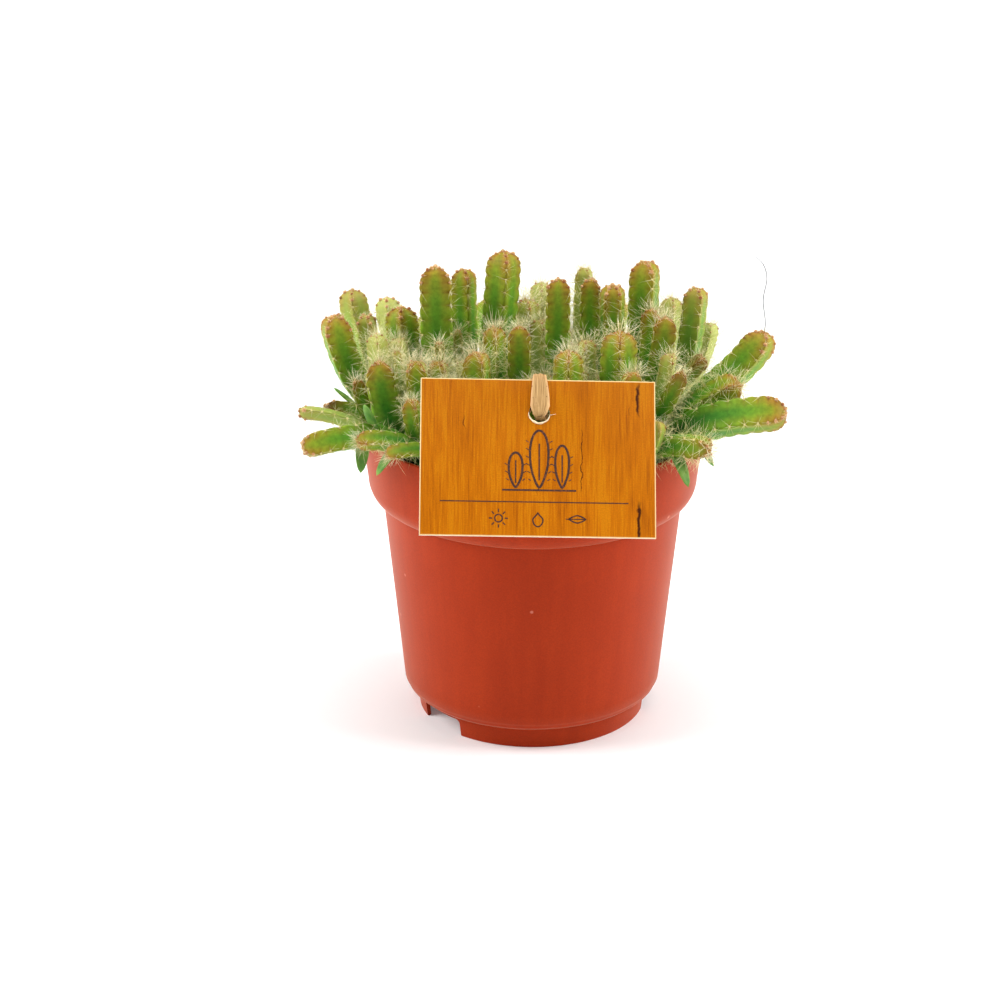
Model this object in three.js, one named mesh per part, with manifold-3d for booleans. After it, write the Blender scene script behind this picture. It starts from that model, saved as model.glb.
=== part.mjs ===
import * as THREE from 'three';
import { mergeVertices } from 'three/addons/utils/BufferGeometryUtils.js';
import Module from 'manifold-3d';

// A 12 cm nursery pot sown full of dragon fruit seedlings, with a card tag that leans on the
// rim and is tied to one of the seedlings. Millimetres, +Z up, the front of the pot towards -Y.
// The origin is on the pot's axis, at the level that its foot stands on.

const wasm = await Module();
wasm.setup();
const { degToRad, smoothstep, clamp, lerp } = THREE.MathUtils;
const up = new THREE.Vector3(0, 0, 1);

// The gap that keeps touching pieces apart, and the number of flats round the pot.
const gap = 0.3;
const potSides = 36;

// Pot: radii and levels of its outside, from the foot upwards.
const footRadius = 40.7;
const footTopRadius = 41.6;
const footTop = 7.6;
const mouldLineRadius = 44.9;
const mouldLineLevel = 9.9;
const bodyLowRadius = 46.0;
const bodyLowLevel = 11.6;
const bodyTopRadius = 53.0;
const bodyTopLevel = 81.1;
const rimLowRadius = 58.1;
const rimLowLevel = 88.7;
const rimRadius = 60.0;
const potHeight = 107.7;
const potWall = 1.3;
const footWall = 1.6;
const floorTop = 9.6;
const floorUnderside = 8.1;
const rimEdgeRound = 0.4;
const floorCorner = { radius: 1.8, height: 2 };

// Foot: arches that let water out, as [middle in degrees from +X, width in degrees], and holes.
const footArches = [[-143, 28], [-2, 24], [112, 28]];
const footArchHeight = 6.5;
const drainHoleRadius = 4;
const drainHoleCircle = 26;
const drainHoles = 5;

// Soil: it fills the pot to a little under the rim, and its top is uneven.
const soilLevel = 98.6;
const soilUnevenness = 0.7;
const soilSides = 24;
const soilRings = [50, 34, 17];
const soilClear = 0.55;
const soilEdgeDrop = 0.6;

// Seedlings: the part of each stem that is rooted, and how it swells from its neck.
const rootedLength = 8.5;
const stemStart = soilLevel + 1.6;
const usualRise = 0.35;
const usualOut = 0.85;
const neckShare = 0.58;
const swellEnd = 0.55;
const lobeSpacing = 8.2;
const lobeDepth = 0.15;
const lobeLift = 0.6;
const domeShare = 1.0;
const domeBluntness = 2.5;
const crownShare = 0.42;
const valleyShare = { 3: 0.56, 4: 0.69, 5: 0.79 };

// Spines: true length, three-sided, sunk into the ribs. They keep within a spread that is even
// about the pot's axis.
const spineRadius = 0.34;
const spineLengths = [3.6, 5.2];
const spineSink = 0.9;
const spineClearance = 0.6;
const spineApart = 1.6;
const spineEvery = 5;
const ribSpineLift = 0.35;
const tipSpines = 2;
const tipSpineLift = 1.2;
const spineBends = [0, 0.5, -0.5, 0.9, -0.9];
const rimRoom = 3;
const soilRoom = 2.2;
const tagRoom = 1;
const spread = { x: 86.6, y: 73.5 };

// Tag: a card that leans back on the rim, turned so that its left side is nearer the front, and
// hanging a little askew in its own plane.
const tagWidth = 78.1;
const tagHeight = 53.3;
const tagThickness = 0.8;
const tagMiddle = new THREE.Vector3(1.0, -56.1, 114.9);
const tagTurn = degToRad(3.6);
const tagLean = degToRad(-33.7);
const tagSkew = degToRad(2.3);
const tagHole = { x: 0.4, z: 15.2, radius: 3.5 };

// Tie: a strip of raffia.
const tieThickness = 0.8;
const tieSteps = 44;
const tieLevel = 127.5;
const tieRoom = 3.8;

// Each seedling by hand: the tip of its stem, the radius over its ribs, where it is rooted, how
// many ribs it has and how far they are turned (degrees). A stem rises, leans out, and is upright
// again at its tip; `rise` (the level over the soil where it has leant out) and `out` (how much of
// the way it has leant by then) are given where they differ from the usual ones.
const seedlings = [
  // Left side, from the rim inwards.
  { tip: [-69, -1, 146.5], girth: 6.7, root: [-50, 4], ribs: 4, turn: -28, rise: 18, out: 0.8 },
  { tip: [-64, 24, 148], girth: 5.3, root: [-46, 22], ribs: 4, turn: 0 },
  { tip: [-58.5, 9, 143.5], girth: 3.9, root: [-46, 14], ribs: 4, turn: 30 },
  { tip: [-52.5, 42, 139.5], girth: 4.8, root: [-37, 34], ribs: 4, turn: 0 },
  { tip: [-46.5, 18, 143.5], girth: 6.0, root: [-40, 14], ribs: 4, turn: 0 },
  { tip: [-34, 8, 161.5], girth: 6.5, root: [-32, 4], ribs: 3, turn: 90 },
  { tip: [-24.5, 26, 155], girth: 5.0, root: [-23, 23], ribs: 4, turn: 20 },
  { tip: [-54, -8, 142], girth: 3.8, root: [-46, -6], ribs: 4, turn: 5 },
  { tip: [-47, 4, 136.5], girth: 4.3, root: [-40, 2], ribs: 3, turn: 40 },
  { tip: [-52.5, -22, 137], girth: 5.9, root: [-43.5, -17.5], ribs: 3, turn: 90 },
  { tip: [-40, -25, 138], girth: 5.0, root: [-35, -21], ribs: 4, turn: 45 },
  { tip: [-33, -15, 134.5], girth: 5.0, root: [-28, -11], ribs: 4, turn: 40 },
  { tip: [-19.5, -24, 141], girth: 5.4, root: [-18, -22], ribs: 4, turn: 25 },
  { tip: [-60.5, -18, 129], girth: 3.2, root: [-49, -14.5], ribs: 3, turn: 0 },
  { tip: [-41.5, -38, 129], girth: 3.6, root: [-35, -29], ribs: 4, turn: 30 },
  // Left side, low over the rim.
  { tip: [-80.5, -20, 118], girth: 2.9, root: [-48, -22], ribs: 3, turn: 60, rise: 20.5, out: 0.6 },
  { tip: [-71.5, -16, 118], girth: 3.4, root: [-51, -7.5], ribs: 4, turn: 10, rise: 16, out: 0.2 },
  { tip: [-78, -42, 113], girth: 5.7, root: [-42, -29], ribs: 4, turn: 0, rise: 20, out: 0.25 },
  { tip: [-59.5, -46, 117], girth: 3.7, root: [-36, -37], ribs: 4, turn: 20, rise: 18, out: 0.3 },
  { tip: [-49.5, -52, 114], girth: 3.2, root: [-29, -41], ribs: 3, turn: 50, rise: 17, out: 0.2 },
  // Middle.
  { tip: [-10, 16, 164.5], girth: 6.4, root: [-15.5, 16], ribs: 4, turn: 10, out: 0.55 },
  { tip: [-2, 32, 142], girth: 4.8, root: [-2, 30], ribs: 4, turn: 15 },
  { tip: [3.5, 46, 144], girth: 4.2, root: [1, 41], ribs: 4, turn: 0 },
  { tip: [8.5, 0, 159.5], girth: 5.0, root: [8, 0], ribs: 3, turn: 90 },
  { tip: [18.5, 36, 152.5], girth: 4.1, root: [16, 33], ribs: 4, turn: 35 },
  { tip: [20.5, 16, 154.5], girth: 4.2, root: [19, 16], ribs: 3, turn: 80 },
  { tip: [27.5, 4, 156], girth: 4.8, root: [26, 4], ribs: 5, turn: 18 },
  { tip: [39, 14, 161.5], girth: 6.3, root: [37, 13], ribs: 4, turn: 25 },
  { tip: [-13.5, -6, 144], girth: 4.2, root: [-13, -6], ribs: 4, turn: 10 },
  { tip: [-5, -19, 148.5], girth: 4.6, root: [-5, -18], ribs: 3, turn: 90 },
  { tip: [11.5, -30, 143.5], girth: 5.2, root: [10, -28], ribs: 4, turn: 0 },
  { tip: [18, -13, 141.5], girth: 3.8, root: [17, -12], ribs: 3, turn: 20 },
  { tip: [29, -20, 147], girth: 6.4, root: [27, -17], ribs: 4, turn: 0 },
  { tip: [33, -35, 137.5], girth: 4.8, root: [29, -31], ribs: 4, turn: 50 },
  { tip: [2.5, 14, 140], girth: 4.2, root: [4, 14], ribs: 3, turn: 50 },
  // Right side, from the rim inwards.
  { tip: [50, 34, 142], girth: 4.4, root: [41, 29], ribs: 4, turn: 10 },
  { tip: [57, 12, 152.5], girth: 5.0, root: [48, 12], ribs: 4, turn: 20 },
  { tip: [63, 20, 137], girth: 4.2, root: [47, 20], ribs: 3, turn: 30 },
  { tip: [41, 2, 148], girth: 4.0, root: [38, 1], ribs: 3, turn: 75 },
  { tip: [45, -12, 149.5], girth: 4.8, root: [33, -8], ribs: 3, turn: 90 },
  { tip: [58.5, -12, 135], girth: 3.6, root: [41, -7], ribs: 3, turn: 0, rise: 24, out: 0.4 },
  { tip: [46, -26, 141], girth: 3.5, root: [34, -15.5], ribs: 3, turn: 45 },
  { tip: [49.5, -36, 138], girth: 3.4, root: [36, -23], ribs: 3, turn: 80, rise: 20, out: 0.5 },
  { tip: [41, -44.5, 123.5], girth: 3.7, root: [31, -39.5], ribs: 4, turn: 20 },
  // Right side, leaning far out.
  { tip: [80.5, 2, 139.5], girth: 6.8, root: [49, 3], ribs: 4, turn: 10, rise: 23.5, out: 0.8 },
  { tip: [70, -23, 129], girth: 6.0, root: [48, -10], ribs: 4, turn: 45, rise: 20.5, out: 0.4 },
  { tip: [84.5, -39, 124.5], girth: 7.1, root: [43.5, -26], ribs: 4, turn: -8, rise: 21.3, out: 0.25 },
  { tip: [58.5, -49.5, 115], girth: 4.9, root: [38, -34.5], ribs: 4, turn: 0, rise: 17, out: 0.2 },
  // Front, behind the tag. The second one carries it.
  { tip: [-17, -45, 122], girth: 4.5, root: [-14, -39], ribs: 4, turn: 15 },
  { tip: [-1, -36.5, 135.5], girth: 4.6, root: [-2, -36], ribs: 4, turn: 0 },
  { tip: [22, -45, 122], girth: 4.6, root: [16, -41], ribs: 4, turn: 35 },
  // Back.
  { tip: [-40, 62, 126], girth: 5.4, root: [-26, 39], ribs: 4, turn: 20, rise: 20, out: 0.4 },
  { tip: [-17, 68, 130], girth: 5.8, root: [-12, 46], ribs: 4, turn: 5, rise: 21, out: 0.4 },
  { tip: [10, 69, 125], girth: 5.2, root: [9, 47], ribs: 3, turn: 30, rise: 20, out: 0.4 },
  { tip: [33, 66, 129], girth: 5.8, root: [25, 40], ribs: 4, turn: 40, rise: 21, out: 0.4 },
  { tip: [56, 50, 127], girth: 5.4, root: [35, 38], ribs: 4, turn: 10, rise: 20, out: 0.4 },
];
const tagHolder = 49;

// Seed leaves by hand: the seedling that each belongs to, where along it the leaf grows, and
// where its tip lies.
const seedLeaves = [
  { on: 17, from: 0.52, tip: [-58.5, -42, 104], arch: 4 },
  { on: 18, from: 0.5, tip: [-53, -47, 105], arch: 4 },
  { on: 17, from: 0.42, tip: [-57, -37.5, 127], arch: 1 },
  { on: 16, from: 0.5, tip: [-69, -12, 124], arch: 1 },
  { on: 19, from: 0.3, tip: [-38, -47, 112], arch: 2 },
  { on: 47, from: 0.5, tip: [51.5, -50, 102], arch: 5 },
  { on: 46, from: 0.3, tip: [61, -36, 104], arch: 4 },
  { on: 53, from: 0.45, tip: [3, 66, 106], arch: 4 },
  { on: 51, from: 0.45, tip: [-41, 52, 106], arch: 4 },
  { on: 55, from: 0.45, tip: [57, 36, 107], arch: 4 },
];
const leafWidth = 4.8;
const leafThickness = 1.5;

const finish = {
  pot: { color: 0xb5482c, roughness: 0.5 },
  soil: { color: 0x2a1f18, roughness: 1.0 },
  stem: { color: 0x6a9a33, roughness: 0.55 },
  tag: { color: 0xd0821c, roughness: 0.6 },
  raffia: { color: 0xc9a672, roughness: 0.8 },
};

// The same random-looking number from 0 to 1 each time for the same key.
function scatter(key) {
  const wave = Math.sin(key * 12.9898 + 4.1) * 43758.5453;
  return wave - Math.floor(wave);
}

function meshOf(name, geometry, look) {
  const material = new THREE.MeshStandardMaterial({ ...finish[look], metalness: 0 });
  const mesh = new THREE.Mesh(geometry, material);
  mesh.name = name;
  return mesh;
}

// A closed geometry as a solid that can be joined and cut.
function solidOf(geometry) {
  const bare = geometry.clone();
  bare.deleteAttribute('normal');
  bare.deleteAttribute('uv');
  const merged = mergeVertices(bare, 1e-4);
  const corners = merged.index.array;
  const triangles = [];
  for (let i = 0; i < corners.length; i += 3) {
    const [a, b, c] = corners.slice(i, i + 3);
    if (a !== b && b !== c && c !== a) triangles.push(a, b, c);
  }
  return new wasm.Manifold(new wasm.Mesh({
    numProp: 3,
    vertProperties: Float32Array.from(merged.attributes.position.array),
    triVerts: Uint32Array.from(triangles),
  }));
}

function geometryOf(solid) {
  const { vertProperties, triVerts } = solid.getMesh();
  const geometry = new THREE.BufferGeometry();
  geometry.setAttribute('position', new THREE.BufferAttribute(Float32Array.from(vertProperties), 3));
  geometry.setIndex(new THREE.BufferAttribute(Uint32Array.from(triVerts), 1));
  return geometry;
}

// Moves each vertex of a geometry to where place() puts it.
function reshape(geometry, place) {
  const positions = geometry.attributes.position;
  const point = new THREE.Vector3();
  for (let i = 0; i < positions.count; i += 1) {
    const moved = place(point.fromBufferAttribute(positions, i));
    positions.setXYZ(i, moved.x, moved.y, moved.z);
  }
  return geometry;
}

function spun(profile, sides) {
  const points = profile.map(([radius, level]) => new THREE.Vector2(radius, level));
  return new THREE.LatheGeometry(points, sides).rotateX(Math.PI / 2);
}

// The rounded step under the rim, from the body out to the rim, as a quarter of an ellipse.
function rimStep(inwards) {
  const steps = 3;
  const points = [];
  for (let i = 0; i <= steps; i += 1) {
    const angle = (i / steps) * Math.PI / 2;
    const radius = lerp(bodyTopRadius, rimLowRadius, Math.sin(angle)) - inwards;
    const level = lerp(rimLowLevel, bodyTopLevel, Math.cos(angle)) + inwards * Math.cos(angle);
    points.push([radius, level]);
  }
  return points;
}

function pot() {
  const outside = [
    [footRadius, 0],
    [footTopRadius, footTop],
    [lerp(footTopRadius, mouldLineRadius, 0.6), footTop + 0.8],
    [mouldLineRadius, mouldLineLevel],
    [bodyLowRadius, bodyLowLevel],
    ...rimStep(0),
    [rimRadius, potHeight - rimEdgeRound],
    [rimRadius - rimEdgeRound, potHeight],
  ];
  const inside = [
    [rimRadius - potWall + rimEdgeRound, potHeight],
    [rimRadius - potWall, potHeight - rimEdgeRound],
    ...rimStep(potWall).reverse(),
    [bodyLowRadius - potWall, bodyLowLevel + floorCorner.height],
    [bodyLowRadius - potWall - floorCorner.radius, floorTop],
    [0, floorTop],
  ];
  const underside = [
    [0, floorUnderside],
    [footTopRadius - footWall, floorUnderside],
    [footRadius - footWall, 0],
    [footRadius, 0],
  ];
  // The profile starts and ends on the axis: under the floor, round the outside, back inside.
  const profile = [...underside, ...outside.slice(1), ...inside];
  let solid = solidOf(spun(profile, potSides));
  for (const [middle, width] of footArches) {
    const across = 2 * footRadius * Math.tan(degToRad(width / 2));
    const arch = new THREE.BoxGeometry(12, across, 2 * footArchHeight);
    arch.translate(footRadius, 0, 0).rotateZ(degToRad(middle));
    solid = solid.subtract(solidOf(arch));
  }
  for (let i = 0; i < drainHoles; i += 1) {
    const hole = new THREE.CylinderGeometry(drainHoleRadius, drainHoleRadius, 8, 10);
    hole.rotateX(Math.PI / 2).translate(drainHoleCircle, 0, (floorTop + floorUnderside) / 2);
    hole.rotateZ((i + 0.5) * 2 * Math.PI / drainHoles);
    solid = solid.subtract(solidOf(hole));
  }
  return geometryOf(solid);
}

function soil() {
  const bottom = floorTop + gap;
  const lowRadius = bodyLowRadius - potWall - soilClear;
  const rimInside = (level) => lerp(rimLowRadius, rimRadius,
    (level - rimLowLevel) / (potHeight - rimLowLevel)) - potWall;
  const profile = [
    [0, bottom],
    [lowRadius - floorCorner.radius - 0.4, bottom],
    [lowRadius - 0.2, bodyLowLevel + floorCorner.height],
    [bodyTopRadius - potWall - soilClear, bodyTopLevel + potWall + soilClear],
    [rimInside(rimLowLevel) - soilClear, rimLowLevel + 1],
    [rimInside(soilLevel) - soilClear - 0.2, soilLevel - soilEdgeDrop],
    ...soilRings.map((radius) => [radius, soilLevel]),
    [0, soilLevel],
  ];
  const heap = reshape(spun(profile, soilSides), (point) => {
    if (point.z < soilLevel - 0.1) return point;
    const lumps = Math.sin(0.35 * point.x + 1) * Math.cos(0.31 * point.y)
      + 0.5 * Math.sin(0.9 * point.x - 0.7 * point.y);
    return point.setZ(point.z + soilUnevenness * lumps);
  });
  let solid = solidOf(heap);
  for (const plant of seedlings) {
    solid = solid.subtract(solidOf(stemHole(plant)));
  }
  return geometryOf(solid);
}

// The plain hole in the soil that a stem stands in.
function stemHole({ root, girth }) {
  const sides = 6;
  const radius = (girth * neckShare + gap) / Math.cos(Math.PI / sides);
  const depth = rootedLength + 4;
  const hole = new THREE.CylinderGeometry(radius, radius, depth, sides);
  hole.rotateX(Math.PI / 2);
  return hole.translate(root[0], root[1], stemStart - rootedLength - 2 * gap + depth / 2);
}

// The line through the middle of a stem: straight up out of the soil, out, and up to its tip.
function stemAxis({ root, tip, rise, out }) {
  const start = new THREE.Vector3(root[0], root[1], stemStart);
  const end = new THREE.Vector3(...tip);
  const leant = rise ?? usualRise * (tip[2] - soilLevel);
  const above = start.clone().addScaledVector(up, leant / 2);
  const below = start.clone().lerp(end, out ?? usualOut).setZ(soilLevel + leant);
  return new THREE.CubicBezierCurve3(start, above, below, end);
}

// The point, direction and turned cross directions of a stem at a distance from the soil.
function stemFrame(axis, length, distance, turn) {
  const share = clamp(distance / length, 0, 1);
  const point = axis.getPointAt(share);
  const ahead = distance < 0 ? up.clone() : axis.getTangentAt(share);
  if (distance < 0) point.z += distance;
  const tilt = new THREE.Quaternion().setFromUnitVectors(up, ahead);
  const across = (degrees) => {
    const angle = degToRad(degrees + turn);
    return new THREE.Vector3(Math.cos(angle), Math.sin(angle), 0).applyQuaternion(tilt);
  };
  return { point, ahead, across };
}

// The radius over the ribs: narrow at the neck, widest past the middle, a round dome on top.
function stemRadius(girth, length, distance) {
  const share = clamp(distance / length, 0, 1);
  const swell = girth * lerp(neckShare, 1, smoothstep(share, 0, swellEnd));
  const dome = Math.min(domeShare * girth, 0.5 * length);
  const intoDome = clamp((distance - length + dome) / dome, 0, 1);
  return swell * Math.sqrt(1 - intoDome ** domeBluntness);
}

// A seedling with its axis, its lobes counted along each rib, and where its ribs end in the crown.
function planted(plant) {
  const axis = stemAxis(plant);
  const length = axis.getLength();
  const lobes = Math.max(3, Math.round(length / lobeSpacing));
  const ribEnd = length - crownShare * plant.girth;
  return { ...plant, axis, length, lobes, ribEnd };
}

// A stem: ribs with a waved edge between valleys, that fade into a round neck in the soil. The
// valleys are smooth, so they have one corner for each lobe where the ribs have two.
function stem({ axis, length, lobes, ribEnd, girth, ribs, turn }) {
  const levels = [-rootedLength, 0];
  for (let i = 1; i < 2 * lobes; i += 1) levels.push(ribEnd * i / (2 * lobes - 1));
  const rows = levels.length - 1;
  const tube = new THREE.CylinderGeometry(1, 1, 1, 2 * ribs, rows);
  return reshape(tube, ({ x, y, z }) => {
    const level = Math.round((y + 0.5) * rows);
    const step = Math.round(Math.atan2(x, z) / (Math.PI / ribs));
    const onAxis = Math.hypot(x, z) < 0.5;
    const onRib = step % 2 === 0;
    const isNotch = level > 1 && level % 2 === 1;
    const own = isNotch && !onRib ? level + 1 : level;
    const distance = onAxis && level === rows ? length : levels[own];
    const { point, ahead, across } = stemFrame(axis, length, distance, turn);
    if (onAxis) return point;
    const ribbed = smoothstep(distance, 0, 0.2 * length);
    const ribShare = isNotch ? 1 - lobeDepth : 1;
    const share = onRib ? ribShare : valleyShare[ribs];
    const radius = stemRadius(girth, length, distance) * lerp(1, share, ribbed);
    const lift = onRib && !isNotch ? lobeLift * ribbed : 0;
    return point.addScaledVector(across(step * 180 / ribs), radius).addScaledVector(ahead, lift);
  });
}

// A fleshy seed leaf: a flattened pod that arches from the stem to its tip.
function seedLeaf({ from, tip, arch }, plant) {
  const start = plant.axis.getPointAt(from);
  const end = new THREE.Vector3(...tip);
  const middle = start.clone().lerp(end, 0.5).addScaledVector(up, arch);
  const midrib = new THREE.QuadraticBezierCurve3(start, middle, end);
  const pod = new THREE.SphereGeometry(1, 6, 5);
  return reshape(pod, ({ x, y, z }) => {
    const along = clamp(Math.acos(clamp(-y, -1, 1)) / Math.PI, 0, 1);
    const point = midrib.getPointAt(along);
    const ahead = midrib.getTangentAt(along);
    const side = new THREE.Vector3().crossVectors(ahead, up).normalize();
    const over = new THREE.Vector3().crossVectors(side, ahead);
    point.addScaledVector(side, x * leafWidth / 2);
    return point.addScaledVector(over, z * leafThickness / 2);
  });
}

// Points along a stem, each with the stem's radius there, to keep other stems' spines clear.
function roomOf(plant) {
  const spots = [];
  const steps = 14;
  for (let i = 0; i <= steps; i += 1) {
    const distance = plant.length * i / steps;
    const radius = stemRadius(plant.girth, plant.length, distance);
    spots.push({ point: plant.axis.getPointAt(i / steps), radius });
  }
  return spots;
}

const tagAngles = new THREE.Euler(tagLean, tagSkew, tagTurn, 'ZXY');
const tagPose = new THREE.Matrix4().makeRotationFromEuler(tagAngles).setPosition(tagMiddle);
const worldToTag = tagPose.clone().invert();

function onTag(x, y, z) {
  return new THREE.Vector3(x, y, z).applyMatrix4(tagPose);
}

// True where a thin thing at this point would touch the pot, the soil, the tag or its tie.
function blocked(point, tieRoute) {
  const fromAxis = Math.hypot(point.x, point.y);
  if (Math.abs(point.x) > spread.x || Math.abs(point.y) > spread.y) return true;
  const nearRim = Math.abs(fromAxis - rimLowRadius) < rimRoom && point.z < potHeight + 1;
  const nearSoil = fromAxis < rimRadius && point.z < soilLevel + soilRoom;
  if (nearRim || nearSoil) return true;
  const local = point.clone().applyMatrix4(worldToTag);
  const nearTag = Math.abs(local.x) < tagWidth / 2 + tagRoom
    && Math.abs(local.z) < tagHeight / 2 + tagRoom
    && Math.abs(local.y) < tagThickness / 2 + tagRoom;
  return nearTag || tieRoute.some((spot) => spot.distanceTo(point) < tieRoom);
}

// One spine from a point on a rib: a slim three-sided needle sunk into the flesh.
function spine(start, direction, length) {
  const needle = new THREE.ConeGeometry(spineRadius, length + spineSink, 3);
  needle.translate(0, (length - spineSink) / 2, 0);
  needle.applyQuaternion(new THREE.Quaternion().setFromUnitVectors(new THREE.Vector3(0, 1, 0), direction));
  return needle.translate(start.x, start.y, start.z);
}

// The places on a seedling where spines grow: on the lobes of its ribs by turns, and round its tip.
function spineSites(plant, index) {
  const { axis, length, lobes, ribEnd, girth, ribs, turn } = plant;
  const sites = [];
  for (let lobe = 1; lobe <= lobes; lobe += 1) {
    const distance = ribEnd * (2 * lobe - 1) / (2 * lobes - 1);
    const { point, ahead, across } = stemFrame(axis, length, distance, turn);
    const radius = stemRadius(girth, length, distance);
    for (let rib = 0; rib < ribs; rib += 1) {
      if ((rib + 2 * lobe + index) % spineEvery !== 0) continue;
      const outwards = across(rib * 360 / ribs);
      const start = point.clone().addScaledVector(outwards, radius - 0.1).addScaledVector(ahead, lobeLift);
      sites.push({ start, outwards, ahead, lift: ribSpineLift });
    }
  }
  const { point, ahead, across } = stemFrame(axis, length, length, turn);
  point.addScaledVector(ahead, -0.5);
  for (let i = 0; i < tipSpines; i += 1) {
    const outwards = across(i * 360 / tipSpines + 40 * index);
    sites.push({ start: point, outwards, ahead, lift: tipSpineLift });
  }
  return sites;
}

// A spine at a site, bent aside until it is clear of its neighbours, or none where it can't be.
function clearSpine(site, key, others, taken, tieRoute) {
  const length = lerp(...spineLengths, scatter(key));
  const lean = scatter(key + 0.5) - 0.5;
  for (const bend of spineBends) {
    const direction = site.outwards.clone().applyAxisAngle(site.ahead, lean + bend);
    direction.multiplyScalar(Math.cos(site.lift)).addScaledVector(site.ahead, Math.sin(site.lift));
    direction.normalize();
    const points = [0.3, 0.65, 1].map((share) =>
      site.start.clone().addScaledVector(direction, length * share));
    const isClear = points.every((point) => !blocked(point, tieRoute)
      && others.every((spot) => spot.point.distanceTo(point) > spot.radius + spineClearance)
      && taken.every((other) => other.distanceTo(point) > spineApart));
    if (isClear) {
      taken.push(...points);
      return spine(site.start, direction, length);
    }
  }
  return null;
}

function seedlingMeshes(tieRoute) {
  const plants = seedlings.map(planted);
  const rooms = plants.map(roomOf);
  const taken = [];
  return plants.map((plant, index) => {
    let solid = solidOf(stem(plant));
    for (const leaf of seedLeaves.filter(({ on }) => on === index)) {
      solid = solid.add(solidOf(seedLeaf(leaf, plant)));
    }
    const others = rooms.filter((room, other) => other !== index).flat();
    const mine = [];
    spineSites(plant, index).forEach((site, number) => {
      const needle = clearSpine(site, 31 * index + number, others, taken, tieRoute);
      if (needle) mine.push(needle);
    });
    for (const needle of mine) solid = solid.add(solidOf(needle));
    const name = `seedling_${String(index + 1).padStart(2, '0')}`;
    return meshOf(name, geometryOf(solid), 'stem');
  });
}

function tag() {
  const outline = new THREE.Shape();
  outline.moveTo(-tagWidth / 2, -tagHeight / 2);
  outline.lineTo(tagWidth / 2, -tagHeight / 2);
  outline.lineTo(tagWidth / 2, tagHeight / 2);
  outline.lineTo(-tagWidth / 2, tagHeight / 2);
  outline.closePath();
  const hole = new THREE.Path();
  hole.absarc(tagHole.x, tagHole.z, tagHole.radius, 0, 2 * Math.PI, true);
  outline.holes.push(hole);
  const options = { depth: tagThickness, bevelEnabled: false, curveSegments: 10 };
  const card = new THREE.ExtrudeGeometry(outline, options);
  card.translate(0, 0, -tagThickness / 2).rotateX(Math.PI / 2);
  return card.applyMatrix4(tagPose);
}

// The raffia's route by hand, with its width and the direction of its width at each point:
// through the hole, round the seedling behind the tag, over the tag's top edge and down its front.
function tieStations() {
  const holder = planted(seedlings[tagHolder]);
  const middle = holder.axis.getPointAt(0.72).setZ(tieLevel);
  const round = holder.girth + gap + tieThickness / 2 + 0.5;
  const x = tagHole.x;
  const edge = tagHeight / 2;
  const away = tagThickness / 2 + gap + tieThickness / 2 + 0.15;
  const acrossTag = onTag(1, 0, 0).sub(onTag(0, 0, 0));
  const beside = (dx, dy, dz) => middle.clone().add(new THREE.Vector3(dx, dy, dz));
  return [
    { at: onTag(x, 0, tagHole.z - 1.1), width: 4.4, along: acrossTag },
    { at: onTag(x + 1.4, 2.4, tagHole.z - 1.6), width: 3.2, along: acrossTag },
    { at: beside(round - 0.2, -3.5, 0), width: 2.4, along: up },
    { at: beside(round - 0.6, 2.4, 0), width: 2.4, along: up },
    { at: beside(0, round, 0), width: 2.4, along: up },
    { at: beside(0.6 - round, 2.4, 0.3), width: 2.4, along: up },
    { at: beside(0.2 - round, -3.5, 0.8), width: 2.4, along: up },
    { at: onTag(x - 4.2, 2.6, tagHole.z + 1.2), width: 2.4, along: acrossTag },
    { at: onTag(x - 2.4, 1.6, edge - 5), width: 3.2, along: acrossTag },
    { at: onTag(x - 0.4, away, edge - 0.6), width: 4.4, along: acrossTag },
    { at: onTag(x, 0, edge + away), width: 4.6, along: acrossTag },
    { at: onTag(x, -away, edge - 0.6), width: 4.7, along: acrossTag },
    { at: onTag(x, -away, edge - 5), width: 5.4, along: acrossTag },
    { at: onTag(x, -away - 0.3, tagHole.z + 2), width: 6.2, along: acrossTag },
    { at: onTag(x, -away - 0.1, tagHole.z - 0.3), width: 5.2, along: acrossTag },
  ];
}

function tie(stations) {
  const count = stations.length;
  const line = new THREE.CatmullRomCurve3(stations.map(({ at }) => at), true);
  const ring = new THREE.TorusGeometry(2, 1, 4, tieSteps);
  return reshape(ring, ({ x, y, z }) => {
    const turn = (Math.round(tieSteps * Math.atan2(y, x) / (2 * Math.PI)) / tieSteps + 1) % 1;
    const corner = Math.round(Math.atan2(z, Math.hypot(x, y) - 2) / (Math.PI / 2) + 4) % 4;
    const place = turn * count;
    const before = stations[Math.floor(place) % count];
    const after = stations[Math.ceil(place) % count];
    const share = place - Math.floor(place);
    const ahead = line.getTangent(turn);
    const across = before.along.clone().lerp(after.along, share);
    across.addScaledVector(ahead, -across.dot(ahead)).normalize();
    const over = new THREE.Vector3().crossVectors(ahead, across);
    const halfWidth = lerp(before.width, after.width, share) / 2;
    const [overSide, acrossSide] = [[1, 1], [-1, 1], [-1, -1], [1, -1]][corner];
    return line.getPoint(turn).addScaledVector(over, overSide * tieThickness / 2)
      .addScaledVector(across, acrossSide * halfWidth);
  });
}

const stations = tieStations();
const tieRoute = new THREE.CatmullRomCurve3(stations.map(({ at }) => at), true).getPoints(40);
const group = new THREE.Group();
group.name = 'potted_dragon_fruit_cactus';
group.add(meshOf('pot', pot(), 'pot'));
group.add(meshOf('soil', soil(), 'soil'));
group.add(...seedlingMeshes(tieRoute));
group.add(meshOf('tag', tag(), 'tag'));
group.add(meshOf('tag_tie', tie(stations), 'raffia'));

export default group;
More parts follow.
